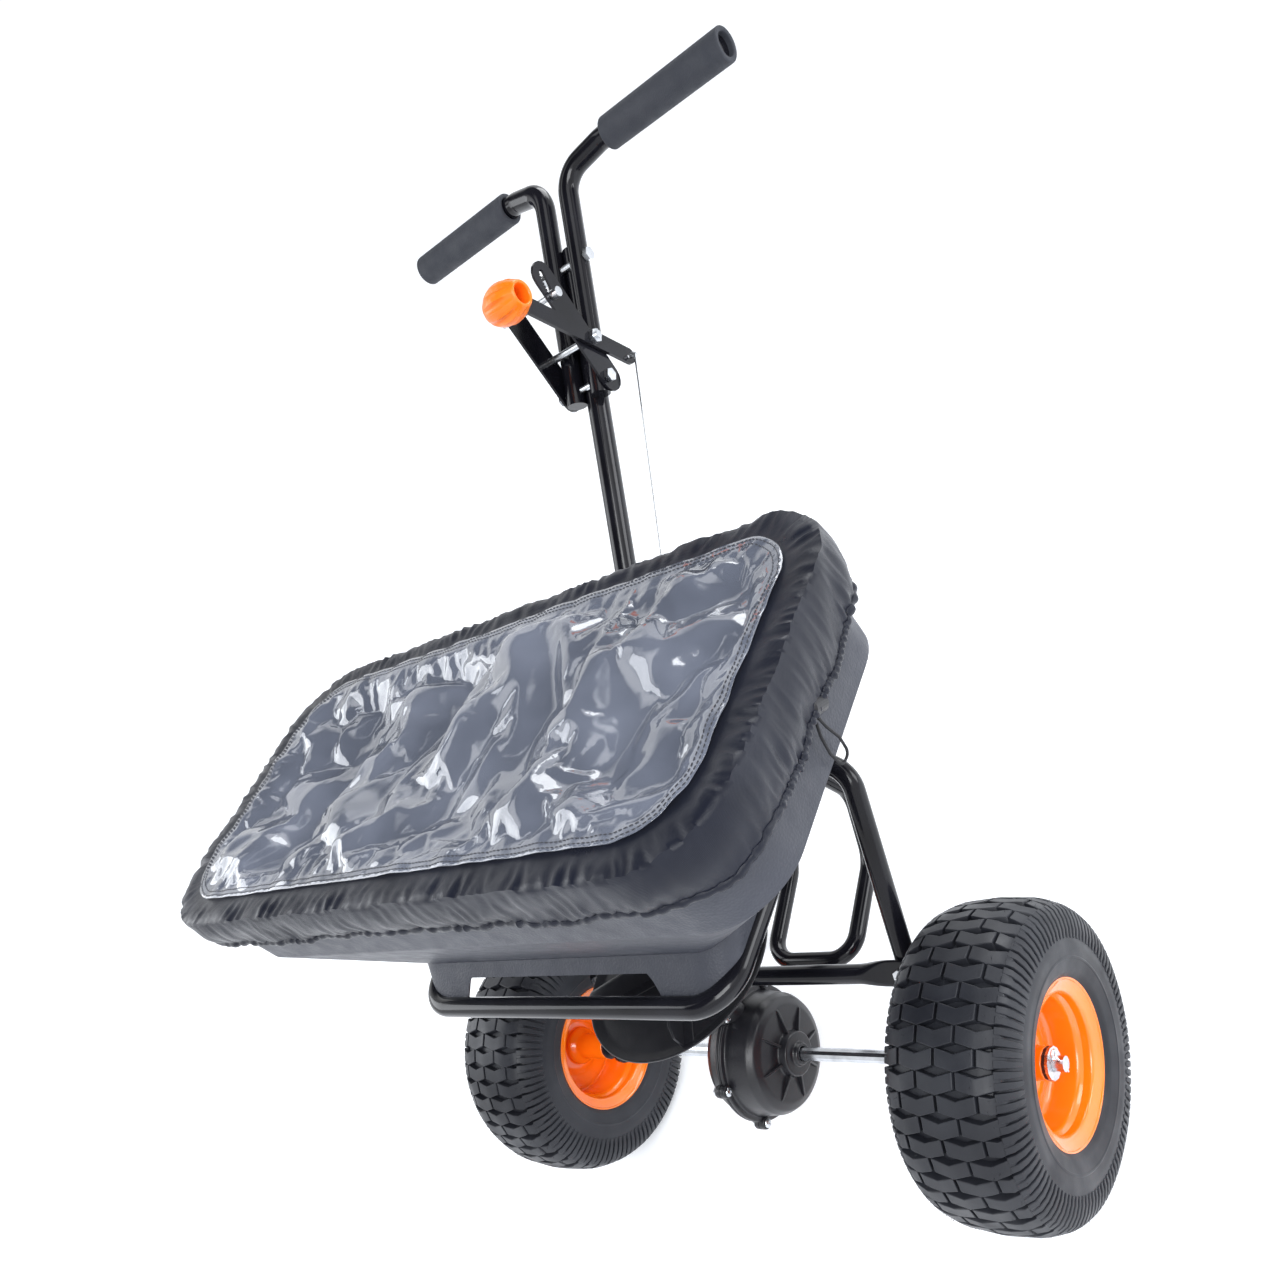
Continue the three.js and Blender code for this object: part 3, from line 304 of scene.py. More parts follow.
def lattice(rings, across, ring_loop=True):
    """Faces of a grid of points, ring after ring; every ring closes on itself."""
    faces = []
    for i in range(rings if ring_loop else rings - 1):
        j = (i + 1) % rings
        for k in range(across):
            m = (k + 1) % across
            faces.append((i * across + k, i * across + m, j * across + m, j * across + k))
    return faces


def lathe(profile, centre, axis="X", segments=96):
    """Points and faces of a turned solid: profile is (place along the axis, radius) in millimetres."""
    points = []
    for s in range(segments):
        angle = 2 * math.pi * s / segments
        c, n = math.cos(angle), math.sin(angle)
        for along, r in profile:
            p = (along, r * c, r * n) if axis == "X" else (r * c, r * n, along)
            points.append(centre + Vector(p) * MM)
    return points, lattice(segments, len(profile))


def turned(name, profile, radius, centre, slot, body, replaced=(), side=1, axis="X", segments=96):
    """A turned piece with rounded corners; side -1 mirrors its profile along the axis."""
    line = [(side * along, r) for along, r in rounded(profile, radius)]
    return facing_out(piece(name, *lathe(line, centre, axis, segments), slot, body, replaced))


def facing_out(obj):
    made = bmesh.new()
    made.from_mesh(obj.data)
    bmesh.ops.remove_doubles(made, verts=made.verts, dist=1e-6)
    bmesh.ops.recalc_face_normals(made, faces=made.faces)
    made.to_mesh(obj.data)
    made.free()
    shade(obj.data)
    return obj


def bevelled(obj, width, segments=2, angle=35):
    modifier = obj.modifiers.new("bevel", "BEVEL")
    modifier.width = width
    modifier.segments = segments
    modifier.limit_method = "ANGLE"
    modifier.angle_limit = math.radians(angle)
    modifier.harden_normals = True
    return obj


for name in nodes:
    if name.startswith(("axle_plate", "lever_bracket", "control_lever", "gate_", "stand_foot", "cord_lock")):
        bevelled(nodes[name], 0.0005)
    elif "bolt" in name or name == "rate_stop":
        bevelled(nodes[name], 0.0004, 1)


# ---- Turf tyres ----
TYRE_R = (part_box("tyre_left")[1].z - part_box("tyre_left")[0].z) / 2 / MM
TYRE_HALF = (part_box("tyre_left")[1].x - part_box("tyre_left")[0].x) / 2 / MM
PITCHES = 50
TREAD_DEPTH = 7
CROWN = [(0, 0), (34, 2.5), (51, 9), (58, 16), (62, 25), (TYRE_HALF, 49)]


def crown_radius(x):
    """Radius of the tread surface at a distance from the middle."""
    x = min(abs(x), TYRE_HALF)
    for (x0, d0), (x1, d1) in zip(CROWN, CROWN[1:]):
        if x <= x1:
            return TYRE_R - d0 - (d1 - d0) * (x - x0) / (x1 - x0)
    return TYRE_R - CROWN[-1][1]


def tread_block(points, faces, x0, x1, centre, length, chevron, steps=6):
    """One block across x0..x1: its ends bend to a chevron, its sides lean in a little."""
    rows = []
    for depth, lean in ((0, 0.0), (TREAD_DEPTH + 1, 1.4)):
        row = []
        for i in range(steps + 1):
            t = i / steps
            x = x0 + (x1 - x0) * t
            edge = min(1, t * steps, (1 - t) * steps)
            x += lean * (t - 0.5) * 2 * (1 if edge < 1 else 0)
            bend = chevron * (1 - abs(2 * t - 1))
            r = crown_radius(x) - depth
            for end in (-1, 1):
                arc = centre + bend + end * (length / 2 + lean)
                angle = arc / TYRE_R
                row.append(len(points))
                points.append(Vector((x, r * math.cos(angle), r * math.sin(angle))))
        rows.append(row)
    top, low = rows
    for i in range(steps):
        a = 2 * i
        faces.append((top[a], top[a + 2], top[a + 3], top[a + 1]))
        faces.append((top[a], low[a], low[a + 2], top[a + 2]))
        faces.append((top[a + 1], top[a + 3], low[a + 3], low[a + 1]))
        faces.append((low[a], low[a + 1], low[a + 3], low[a + 2]))
    last = 2 * steps
    faces.append((top[0], top[1], low[1], low[0]))
    faces.append((top[last], low[last], low[last + 1], top[last + 1]))


def shoulder_fin(points, faces, side, centre, width):
    """A rib that runs from the tread's edge down the shoulder and fades into the sidewall."""
    stations = [(52, 154.0, 1.0), (58, 148.5, 1.0), (62, 139.5, 0.9), (64.2, 130, 0.7), (64.6, 121, 0.35)]
    rows = []
    for i, (x, r, share) in enumerate(stations):
        x0, r0 = stations[max(0, i - 1)][:2]
        x1, r1 = stations[min(len(stations) - 1, i + 1)][:2]
        normal = Vector((-(r1 - r0), x1 - x0)).normalized()
        row = []
        for out, half in ((0.9, 0.5), (0.9, -0.5), (-4.5, -0.62), (-4.5, 0.62)):
            rise = (out if out < 0 else out * 1.2 * share)
            px, pr = x + normal.x * rise, r + normal.y * rise
            angle = (centre + half * width * (0.55 + 0.45 * share)) / TYRE_R
            row.append(len(points))
            px = min(px, TYRE_HALF + 0.8)
            points.append(Vector((side * px, pr * math.cos(angle), pr * math.sin(angle))))
        rows.append(row)
    for a, b in zip(rows, rows[1:]):
        for k in range(4):
            m = (k + 1) % 4
            faces.append((a[k], a[m], b[m], b[k]) if side > 0 else (a[k], b[k], b[m], a[m]))
    faces.append(tuple(rows[0]) if side < 0 else tuple(reversed(rows[0])))
    faces.append(tuple(reversed(rows[-1])) if side < 0 else tuple(rows[-1]))


def carcass_profile():
    """The tyre under its tread, bead to bead, with a raised ring on each sidewall."""
    outer = [
        (51, 78), (61, 88), (64.2, 101), (64.9, 101.8), (64.9, 103.6), (64.4, 104.4), (65, 114), (64, 122),
        (61, 138), (56, 146), (49, 149.5)]
    crown = [(x, crown_radius(x) - TREAD_DEPTH) for x in (40, 30, 20, 10)]
    right = [(51, 69), *outer, *crown]
    return right + [(0, TYRE_R - TREAD_DEPTH)] + [(-x, r) for x, r in reversed(right)]


def make_tyre(name, side):
    random.seed(17 + side)
    points, faces = [], []
    pitch = 2 * math.pi * TYRE_R / PITCHES
    length = pitch * 0.76
    for i in range(PITCHES):
        base = i * pitch
        if i % 2:
            tread_block(points, faces, -17.6, 17.6, base, length, 5.5)
        for s in (1, -1):
            if i % 2:
                tread_block(points, faces, s * 20.4, s * 56.5, base, length, 5.5)
            else:
                tread_block(points, faces, s * 1.4, s * 36.6, base, length, 5.5)
                tread_block(points, faces, s * 39.4, s * 58.5, base, length, 2.5, 4)
            for half in (-0.25, 0.25):
                shoulder_fin(points, faces, s, base + half * pitch, pitch * 0.36)
    centre = (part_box(f"tyre_{name}")[0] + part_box(f"tyre_{name}")[1]) / 2
    body = BODY[f"tyre_{name}"]
    tread = piece(f"turf_tread_{name}", [centre + p * MM for p in points], faces, "tyre_rubber", body)
    facing_out(tread)
    bevelled(tread, 0.0009)
    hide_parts(f"tyre_{name}")
    turned(f"tyre_carcass_{name}", carcass_profile(), 3, centre, "tyre_rubber", body, segments=160)
    # moulding hairs left by the vents of the mould
    points, faces = [], []
    for _ in range(170):
        s = random.choice((-1, 1))
        x = s * random.uniform(30, 60)
        angle = random.uniform(0, 2 * math.pi)
        r = crown_radius(x)
        root = Vector((x, r * math.cos(angle), r * math.sin(angle)))
        out = Vector((s * 0.35, math.cos(angle), math.sin(angle))).normalized()
        lean = Vector([random.uniform(-0.5, 0.5) for _ in range(3)])
        tip = root + (out + lean).normalized() * random.uniform(3, 6)
        across = out.orthogonal().normalized() * 0.3
        over = out.cross(across)
        k = len(points)
        foot = root - out
        points += [foot + across, foot - across * 0.5 + over, foot - across * 0.5 - over, tip]
        faces += [(k, k + 1, k + 3), (k + 1, k + 2, k + 3), (k + 2, k, k + 3), (k, k + 2, k + 1)]
    piece(f"vent_hairs_{name}", [centre + p * MM for p in points], faces, "tyre_rubber", body)


# ---- Rims ----
def rim_profile():
    half, flange, well, sheet, hub, bore = 56, 84, 66, 2.6, 17, 12.2
    bed = half - 5.3
    return [
        (-62, bore), (34, bore), (34, hub), (8, hub + 1), (5, 24), (6, 32), (10, 40), (10.5, 46),
        (8, well - 8), (12, well - 2), (bed - 14, well - 2), (bed + 1, flange - 5), (half + 1, flange - 2),
        (half + 1, flange), (bed + sheet, flange - 6.7), (bed, well + sheet), (-bed, well + sheet),
        (-bed - sheet, flange - 6.7), (-half - 1, flange), (-half - 1, flange - 2), (-bed - 1, flange - 5),
        (-bed + 14, well - 2), (8, well - 2), (8 - sheet, well - 7), (7.5 - sheet, 46), (7 - sheet, 40),
        (3 - sheet, 32), (3 - sheet, 24), (-8, hub + 9), (-16, hub), (-62, hub)]


def make_rim(name, side):
    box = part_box(f"tyre_{name}")
    centre = (box[0] + box[1]) / 2
    node = f"rim_{name}"
    rim = turned(
        f"steel_{node}", rim_profile(), 3.4, centre, "rim_paint", BODY[node], [node], side, segments=128)
    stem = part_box(f"valve_stem_{name}")
    middle = (stem[0] + stem[1]) / 2
    hole = cylinder("hole_tool", middle, Vector((1, 0, 0)), 4.3, 60)
    subtract(rim, [hole])


def cylinder(name, centre, axis, radius, length, segments=32):
    """A plain cylinder, sizes in millimetres, used to cut holes."""
    turn = Vector((1, 0, 0)).rotation_difference(axis).to_matrix()
    points, faces = [], []
    for end in (-0.5, 0.5):
        for s in range(segments):
            angle = 2 * math.pi * s / segments
            local = Vector((end * length, radius * math.cos(angle), radius * math.sin(angle))) * MM
            points.append(centre + turn @ local)
    for s in range(segments):
        t = (s + 1) % segments
        faces.append((s, t, segments + t, segments + s))
    faces.append(tuple(reversed(range(segments))))
    faces.append(tuple(range(segments, 2 * segments)))
    mesh = bpy.data.meshes.new(name)
    mesh.from_pydata([tuple(p) for p in points], [], faces)
    obj = bpy.data.objects.new(name, mesh)
    bpy.context.scene.collection.objects.link(obj)
    return facing_out(obj)


def apply_modifiers(obj):
    bpy.context.view_layer.update()
    evaluated = obj.evaluated_get(bpy.context.evaluated_depsgraph_get())
    mesh = bpy.data.meshes.new_from_object(evaluated)
    obj.modifiers.clear()
    obj.data = mesh


def subtract(obj, tools):
    for tool in tools:
        modifier = obj.modifiers.new("cut", "BOOLEAN")
        modifier.operation = "DIFFERENCE"
        modifier.solver = "EXACT"
        modifier.object = tool
    apply_modifiers(obj)
    shade(obj.data)
    for tool in tools:
        bpy.data.objects.remove(tool)


for name, side in SIDES.items():
    make_tyre(name, side)
    make_rim(name, side)


# ---- Hopper ----
def rounded_rect(x_low, x_high, y_low, y_high, radius, corner_steps=14, side_steps=10):
    """Outline points of a rectangle with round corners, in millimetres; the same count for every size."""
    corners = [(x_high - radius, y_high - radius, 0), (x_low + radius, y_high - radius, 1),
               (x_low + radius, y_low + radius, 2), (x_high - radius, y_low + radius, 3)]
    points = []
    for i, (x, y, quarter) in enumerate(corners):
        arc = []
        for k in range(corner_steps + 1):
            angle = (quarter + k / corner_steps) * math.pi / 2
            arc.append(Vector((x + radius * math.cos(angle), y + radius * math.sin(angle))))
        points += arc
        nx, ny, quarter = corners[(i + 1) % 4]
        angle = quarter * math.pi / 2
        following = Vector((nx + radius * math.cos(angle), ny + radius * math.sin(angle)))
        points += [arc[-1].lerp(following, k / side_steps) for k in range(1, side_steps)]
    return points


RIM_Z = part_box("hopper")[1].z / MM
BAR_HEIGHT = 22.3  # the hopper stands on the frame's bar
FLOOR_Z, CREASE_Z, SHOULDER_Z = RIM_Z - 262, RIM_Z - 204, RIM_Z - 96
RIM_X, RIM_FRONT, RIM_REAR, LIP = 368, -133, 190, 10


def hopper_section(z, inset):
    """The hopper's outline at a height, shrunk by inset."""
    levels = [(FLOOR_Z, 92, -58, 74, 16), (CREASE_Z, 226, -74, 142, 40),
              (SHOULDER_Z, RIM_X + 1, RIM_FRONT + 6, RIM_REAR - 6, 66),
              (RIM_Z, RIM_X, RIM_FRONT, RIM_REAR, 70)]
    for low, high in zip(levels, levels[1:]):
        if z <= high[0]:
            t = (z - low[0]) / (high[0] - low[0])
            x, front, rear, radius = (a + (b - a) * t for a, b in zip(low[1:], high[1:]))
            return rounded_rect(-x + inset, x - inset, front + inset, rear - inset, radius - inset)


def skin(rings, cap_first=False, cap_last=False, closed_loop=False):
    """Points and faces through rings of [x, y, z] points in millimetres."""
    count = len(rings[0])
    points = [at(*p) for row in rings for p in row]
    faces = lattice(len(rings), count, closed_loop)
    if cap_first:
        faces.append(tuple(reversed(range(count))))
    if cap_last:
        faces.append(tuple(range((len(rings) - 1) * count, len(rings) * count)))
    return points, faces


def ring(outline, z):
    return [(p.x, p.y, z) for p in outline]


def make_hopper():
    wall = 4.5
    heights = [FLOOR_Z, FLOOR_Z + 1.5, FLOOR_Z + 20, FLOOR_Z + 40, CREASE_Z - 1.5, CREASE_Z, CREASE_Z + 1.5,
               CREASE_Z + 20, CREASE_Z + 50, CREASE_Z + 80, SHOULDER_Z - 3, SHOULDER_Z, SHOULDER_Z + 3,
               SHOULDER_Z + 30, SHOULDER_Z + 60, RIM_Z - 5]
    rings = [ring(hopper_section(z, 2.0 if z == FLOOR_Z else 0), z) for z in heights]
    lip = [(RIM_Z - 4.5, LIP - 0.5), (RIM_Z - 4, LIP), (RIM_Z - 1, LIP), (RIM_Z, LIP - 1)]
    for z, out in lip:
        rings.append(ring(hopper_section(RIM_Z, -out), z))
    rings.append(ring(hopper_section(RIM_Z, wall - 1), RIM_Z))
    for z in reversed(heights[4:]):
        rings.append(ring(hopper_section(z, wall), z))
    rings.append(ring(hopper_section(FLOOR_Z + wall, wall + 1), FLOOR_Z + wall))
    hopper = piece("hopper_shell", *skin(rings, True, True), "hopper_plastic", "frame", ["hopper"])
    facing_out(hopper)
    ports = [(-34, -36, 12), (0, -38, 12), (34, -36, 12)]
    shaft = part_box("spinner_shaft")
    tools = [cylinder("port", at(x, y, FLOOR_Z), Vector((0, 0, 1)), r, 40) for x, y, r in ports]
    middle = (shaft[0] + shaft[1]) / 2
    tools.append(cylinder("port", Vector((middle.x, middle.y, FLOOR_Z * MM)), Vector((0, 0, 1)), 7, 40))
    subtract(hopper, tools)


def apron_outline(x, front, rear, corner, inset):
    return rounded_rect(-x + inset, x - inset, front + inset, rear - inset, corner - inset, 16, 60)


def make_apron():
    """The skirt under the crease: it flares to the bar, arched at the front and notched behind."""
    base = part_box("hopper_frame")[0].z / MM + BAR_HEIGHT

    def bottom(p):
        if p.y < -60:
            share = min(1, max(0, (150 - abs(p.x)) / 22))
            return base + (CREASE_Z - 9 - base) * share
        if p.y > 100:
            share = min(1, max(0, (122 - abs(p.x)) / 3))
            return base + (CREASE_Z - 7 - base) * share
        return base
    rings = []
    top = CREASE_Z + 4
    at_foot, at_top = (220, -114, 143, 40), (227, -75, 143, 40)
    for inset in (0, 4.5):
        low, high = apron_outline(*at_foot, inset), apron_outline(*at_top, inset)
        layer = []
        for step in range(7):
            row = []
            for k, foot in enumerate(apron_outline(*at_foot, 0)):
                z = bottom(foot) + (top - bottom(foot)) * step / 6
                p = low[k].lerp(high[k], (z - base) / (top - base))
                row.append((p.x, p.y, z))
            layer.append(row)
        rings += layer if inset == 0 else list(reversed(layer))
    points, faces = skin(rings, closed_loop=True)
    facing_out(piece("hopper_apron", points, faces, "hopper_plastic", "frame"))


make_hopper()
make_apron()


# ---- Rain cover ----
COVER_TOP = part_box("cover_fabric")[1].z / MM
COVER_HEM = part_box("cover_fabric")[0].z / MM
COVER_OUT = 16.5  # how far the cover's outside stands off the rim
WINDOW = (345, -112, 171, 56)


def window_outline(grow, **steps):
    x, front, rear, radius = WINDOW
    return rounded_rect(-x - grow, x + grow, front - grow, rear + grow, radius + grow, **steps)


def wavy(p, scale, size):
    """Smooth seeded noise at a point in millimetres."""
    return size * noise.noise(Vector((p[0] / scale, p[1] / scale, p[2] / scale + 3.7)))


def make_window():
    """Soft clear sheet: a cloth a little larger than its frame buckles into creases."""
    spacing = 6.0
    edge = []
    outline = window_outline(9, corner_steps=24, side_steps=60)
    carried = 0.0
    for a, b in zip(outline, outline[1:] + outline[:1]):
        carried += (b - a).length
        if carried >= spacing * 0.8:
            edge.append(b.copy())
            carried = 0.0
    random.seed(5)
    inner = []
    x_half, front, rear, radius = WINDOW[0] + 9, WINDOW[1] - 9, WINDOW[2] + 9, WINDOW[3] + 9

    def depth_inside(x, y):
        dx = x_half - abs(x)
        dy = min(y - front, rear - y)
        if dx < radius and dy < radius:
            return radius - math.hypot(radius - dx, radius - dy)
        return min(dx, dy)
    rows = int((rear - front) / (spacing * 0.87))
    for j in range(rows + 1):
        y = front + j * spacing * 0.87
        for i in range(int(2 * x_half / spacing) + 1):
            x = -x_half + (i + 0.5 * (j % 2)) * spacing
            x += random.uniform(-1.2, 1.2)
            if depth_inside(x, y) > spacing * 0.7:
                inner.append(Vector((x, y + random.uniform(-1.2, 1.2))))
    count = len(edge)
    loop = [(i, (i + 1) % count) for i in range(count)]
    flat, _, faces, *_ = geometry.delaunay_2d_cdt(edge + inner, loop, [], 1, 1e-4)
    top = COVER_TOP + 0.4
    points, weights = [], []
    for p in flat:
        inside = depth_inside(p.x, p.y)
        start = (p.x, p.y, 0)
        free = min(1, max(0, (inside - 14) / 30))
        lift = abs(wavy(start, 30, 4.5)) + abs(wavy(start, 11, 1.6))
        lift = lift * (1 - free) + free * (wavy(start, 120, 26) + wavy(start, 45, 10))
        points.append(at(p.x, p.y, top + lift))
        weights.append(1.0 if inside < 15 else 0.0)
    window = piece("vinyl_window", points, faces, "clear_vinyl", "cover", ["cover_window"])
    crumple(window, weights)
    smooth = window.modifiers.new("smooth", "SUBSURF")
    smooth.levels = smooth.render_levels = 1
    apply_modifiers(window)
    shade(window.data, math.radians(75))
    solid = window.modifiers.new("gauge", "SOLIDIFY")
    solid.thickness = 0.0005
    solid.offset = 0
    return window


def crumple(sheet, weights):
    """Blender's cloth, pinned round its edge and grown a few per cent."""
    group = sheet.vertex_groups.new(name="pin")
    for i, w in enumerate(weights):
        if w > 0:
            group.add([i], w, "REPLACE")
    cloth = sheet.modifiers.new("cloth", "CLOTH")
    settings = cloth.settings
    settings.vertex_group_mass = "pin"
    settings.quality = 7
    settings.mass = 0.12
    settings.tension_stiffness = 60
    settings.compression_stiffness = 60
    settings.shear_stiffness = 30
    settings.bending_stiffness = 9
    settings.air_damping = 2
    settings.shrink_min = -0.05
    settings.effector_weights.gravity = 0.12
    cloth.collision_settings.use_collision = False
    cloth.collision_settings.use_self_collision = False
    cloth.point_cache.frame_start = 1
    cloth.point_cache.frame_end = 45
    scene = bpy.context.scene
    for step in range(1, 46):
        scene.frame_set(step)
    apply_modifiers(sheet)
    scene.frame_set(1)


window = make_window()


def cover_point(base, out, u, v):
    """A point of the nylon: v is 0 at the window's seam, 1 at the rim's edge and 2 at the hem."""
    inner, outer = base
    along = u
    if v <= 1:
        p = inner.lerp(outer, v)
        free = min(1, max(0, (v - 0.42) / 0.3))
        crest = 1 - 2 * abs(noise.noise(Vector((along / 15, v * 1.2, 1.0))))
        fold = 2.6 * crest + 2.5 * noise.noise(Vector((along / 46, v * 2, 5.0)))
        return Vector((p.x, p.y, COVER_TOP - 1.4 - 1.4 * v ** 3 + free * fold))
    t = v - 1
    near = max(0.0, out.x) * max(0.0, outer.x) / 385
    drop = (COVER_TOP - COVER_HEM) * t
    drop += near * 11 * t * (1 + 0.5 * noise.noise(Vector((along / 60, 0.3, 8.0))))
    drop += 3.2 * t * noise.noise(Vector((along / 24, 0.5, 2.0)))
    gather = 0.25 + 0.75 * t
    ridge = 1 - 2.4 * abs(noise.noise(Vector((along / 13 + t * 0.5, t * 0.9, 4.0))))
    fine_ridge = 1 - 2.4 * abs(noise.noise(Vector((along / 6.5, t * 1.4, 6.0))))
    broad = noise.noise(Vector((along / 42 + t * 1.3, t * 1.3, 9.0)))
    fold = gather * (2.4 * ridge + 0.9 * fine_ridge * t + 5 * broad)
    belly = 2.5 * math.sin(math.pi * t) - 4.5 * t ** 2
    shift = 6 * math.tanh((belly + fold) / 7)
    return Vector((outer.x + out.x * shift, outer.y + out.y * shift, COVER_TOP - 2.8 - drop))


def make_cover():
    steps = {"corner_steps": 60, "side_steps": 220}
    inner = window_outline(-6, **steps)
    outer = rounded_rect(-RIM_X - COVER_OUT, RIM_X + COVER_OUT, RIM_FRONT - COVER_OUT, RIM_REAR + COVER_OUT,
                         70 + COVER_OUT, **steps)
    count = len(inner)
    lengths = [0.0]
    for a, b in zip(outer, outer[1:]):
        lengths.append(lengths[-1] + (b - a).length)
    total = lengths[-1] + (outer[0] - outer[-1]).length
    rings = []
    levels = [i / 8 for i in range(9)] + [1 + i / 16 for i in range(1, 17)]
    for v in levels:
        row = []
        for k in range(count):
            ahead = outer[(k + 1) % count] - outer[k - 1]
            out = Vector((ahead.y, -ahead.x)).normalized()
            u = lengths[k]
            p = cover_point((inner[k], outer[k]), out, u, v)
            # the noise closes on itself over the last stretch
            wrap = max(0.0, (u - total + 60) / 60)
            if wrap > 0:
                q = cover_point((inner[k], outer[k]), out, u - total, v)
                p = p.lerp(q, wrap)
            row.append(tuple(p))
        rings.append(row)
    points, faces = skin(rings)
    fabric = piece("nylon_cover", points, faces, "nylon", "cover", ["cover_fabric"], math.radians(70))
    solid = fabric.modifiers.new("gauge", "SOLIDIFY")
    solid.thickness = 0.0006
    return fabric, make_hem(rings[-1])


def make_hem(line):
    """The tunnel with its elastic, gathered into small pleats."""
    rings = []
    sides = 10
    count = len(line)
    for k in range(count):
        ahead = Vector(line[(k + 2) % count]) - Vector(line[k - 2])
        flat = Vector((ahead.x, ahead.y, 0)).normalized()
        out = Vector((flat.y, -flat.x, 0))
        pleat = 1 + 0.22 * math.sin(2 * math.pi * k / 7.0) + 0.2 * noise.noise(Vector((k / 5, 0, 0)))
        centre = Vector(line[k]) + Vector((0, 0, -2.2))
        row = []
        for s in range(sides):
            angle = 2 * math.pi * s / sides
            rise = Vector((0, 0, 3.4 * pleat * math.sin(angle)))
            row.append(centre + out * (2.3 * pleat * math.cos(angle)) + rise)
        rings.append(row)
    points = [at(*p) for row in rings for p in row]
    faces = []
    for k in range(count):
        m = (k + 1) % count
        for s in range(sides):
            t = (s + 1) % sides
            faces.append((k * sides + s, m * sides + s, m * sides + t, k * sides + t))
    return facing_out(piece("cover_hem", points, faces, "nylon", "cover", limit=math.radians(80)))


cover, hem = make_cover()


def stitch_rows():
    """Two rows of stitches hold the window's edge to the nylon."""
    bpy.context.view_layer.update()
    points, faces = [], []
    for inset in (1.5, 6.5):
        line = window_outline(9 - inset - 2, corner_steps=40, side_steps=160)
        lengths = [0.0]
        for a, b in zip(line, line[1:] + line[:1]):
            lengths.append(lengths[-1] + (b - a).length)
        stitch, gap = 3.4, 1.2
        place = 0.0
        k = 0
        while place + stitch < lengths[-1]:
            ends = []
            for d in (place, place + stitch):
                while lengths[k + 1] < d:
                    k += 1
                t = (d - lengths[k]) / max(1e-6, lengths[k + 1] - lengths[k])
                p = line[k].lerp(line[(k + 1) % len(line)], t)
                hit, where, _, _ = window.ray_cast(at(p.x, p.y, COVER_TOP + 60), Vector((0, 0, -1)))
                ends.append((where if hit else at(p.x, p.y, COVER_TOP + 1.5)) + Vector((0, 0, 0.35 * MM)))
            add_stitch(points, faces, *ends)
            place += stitch + gap
    piece("window_stitches", points, faces, "nylon", "cover", material=THREAD.material)


def add_stitch(points, faces, a, b, radius=0.00045):
    """One bulged thread from a to b."""
    way = (b - a).normalized()
    across = way.orthogonal().normalized()
    over = way.cross(across)
    first = len(points)
    for t, share in ((0, 0.35), (0.25, 1), (0.75, 1), (1, 0.35)):
        for s in range(5):
            angle = 2 * math.pi * s / 5
            offset = (across * math.cos(angle) + over * math.sin(angle)) * radius * share
            points.append(a.lerp(b, t) + offset)
    for i in range(3):
        for s in range(5):
            t = (s + 1) % 5
            faces.append((first + i * 5 + s, first + i * 5 + t, first + i * 5 + 5 + t, first + i * 5 + 5 + s))
    faces.append(tuple(first + s for s in reversed(range(5))))
    faces.append(tuple(first + 15 + s for s in range(5)))


stitch_rows()


# ---- Foam grips, knob, gearbox, spinner ----
def make_grip(name):
    low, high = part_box(f"grip_{name}")
    centre = (low + high) / 2
    half = (high.x - low.x) / 2 / MM
    outer = (high.z - low.z) / 2 / MM
    profile = [(-half, 11.3), (half, 11.3), (half, outer - 1), (half - 1.5, outer), (-half + 1.5, outer),
               (-half, outer - 1)]
    turned(f"foam_grip_{name}", profile, 2.5, centre, "foam", "frame", [f"grip_{name}"], segments=64)


for name in SIDES:
    make_grip(name)


# ---- Frame and handle tubes ----
def bent_line(corners, bends, steps=14):
    """Straight runs joined by round bends: the places where the section is drawn."""
    corners = [Vector(c) for c in corners]
    if not hasattr(bends, "__len__"):
        bends = [bends] * (len(corners) - 2)
    line = [corners[0]]
    for i, radius in enumerate(bends, 1):
        back = (corners[i - 1] - corners[i]).normalized()
        ahead = (corners[i + 1] - corners[i]).normalized()
        half = back.angle(ahead) / 2
        reach = radius / math.tan(half)
        start, end = corners[i] + back * reach, corners[i] + ahead * reach
        hold = 4 / 3 * math.tan((math.pi - 2 * half) / 4) * radius
        inner = (start - back * hold, end - ahead * hold)
        for k in range(steps + 1):
            t = k / steps
            u = 1 - t
            line.append(
                start * u ** 3 + inner[0] * (3 * u * u * t) + inner[1] * (3 * u * t * t) + end * t ** 3)
    line.append(corners[-1])
    return line


def end_places(end, inner, flat):
    """Places on the last stretch before a pressed end."""
    way = inner - end
    room = way.length
    tip = [t * flat["width"] / 2 for t in (0, 0.04, 0.1, 0.2, 0.35, 0.55, 0.8, 1)]
    taper = [flat["reach"] + t * flat["taper"] / 10 for t in range(11)]
    return [end + way.normalized() * d for d in tip + taper if d < room - 1]


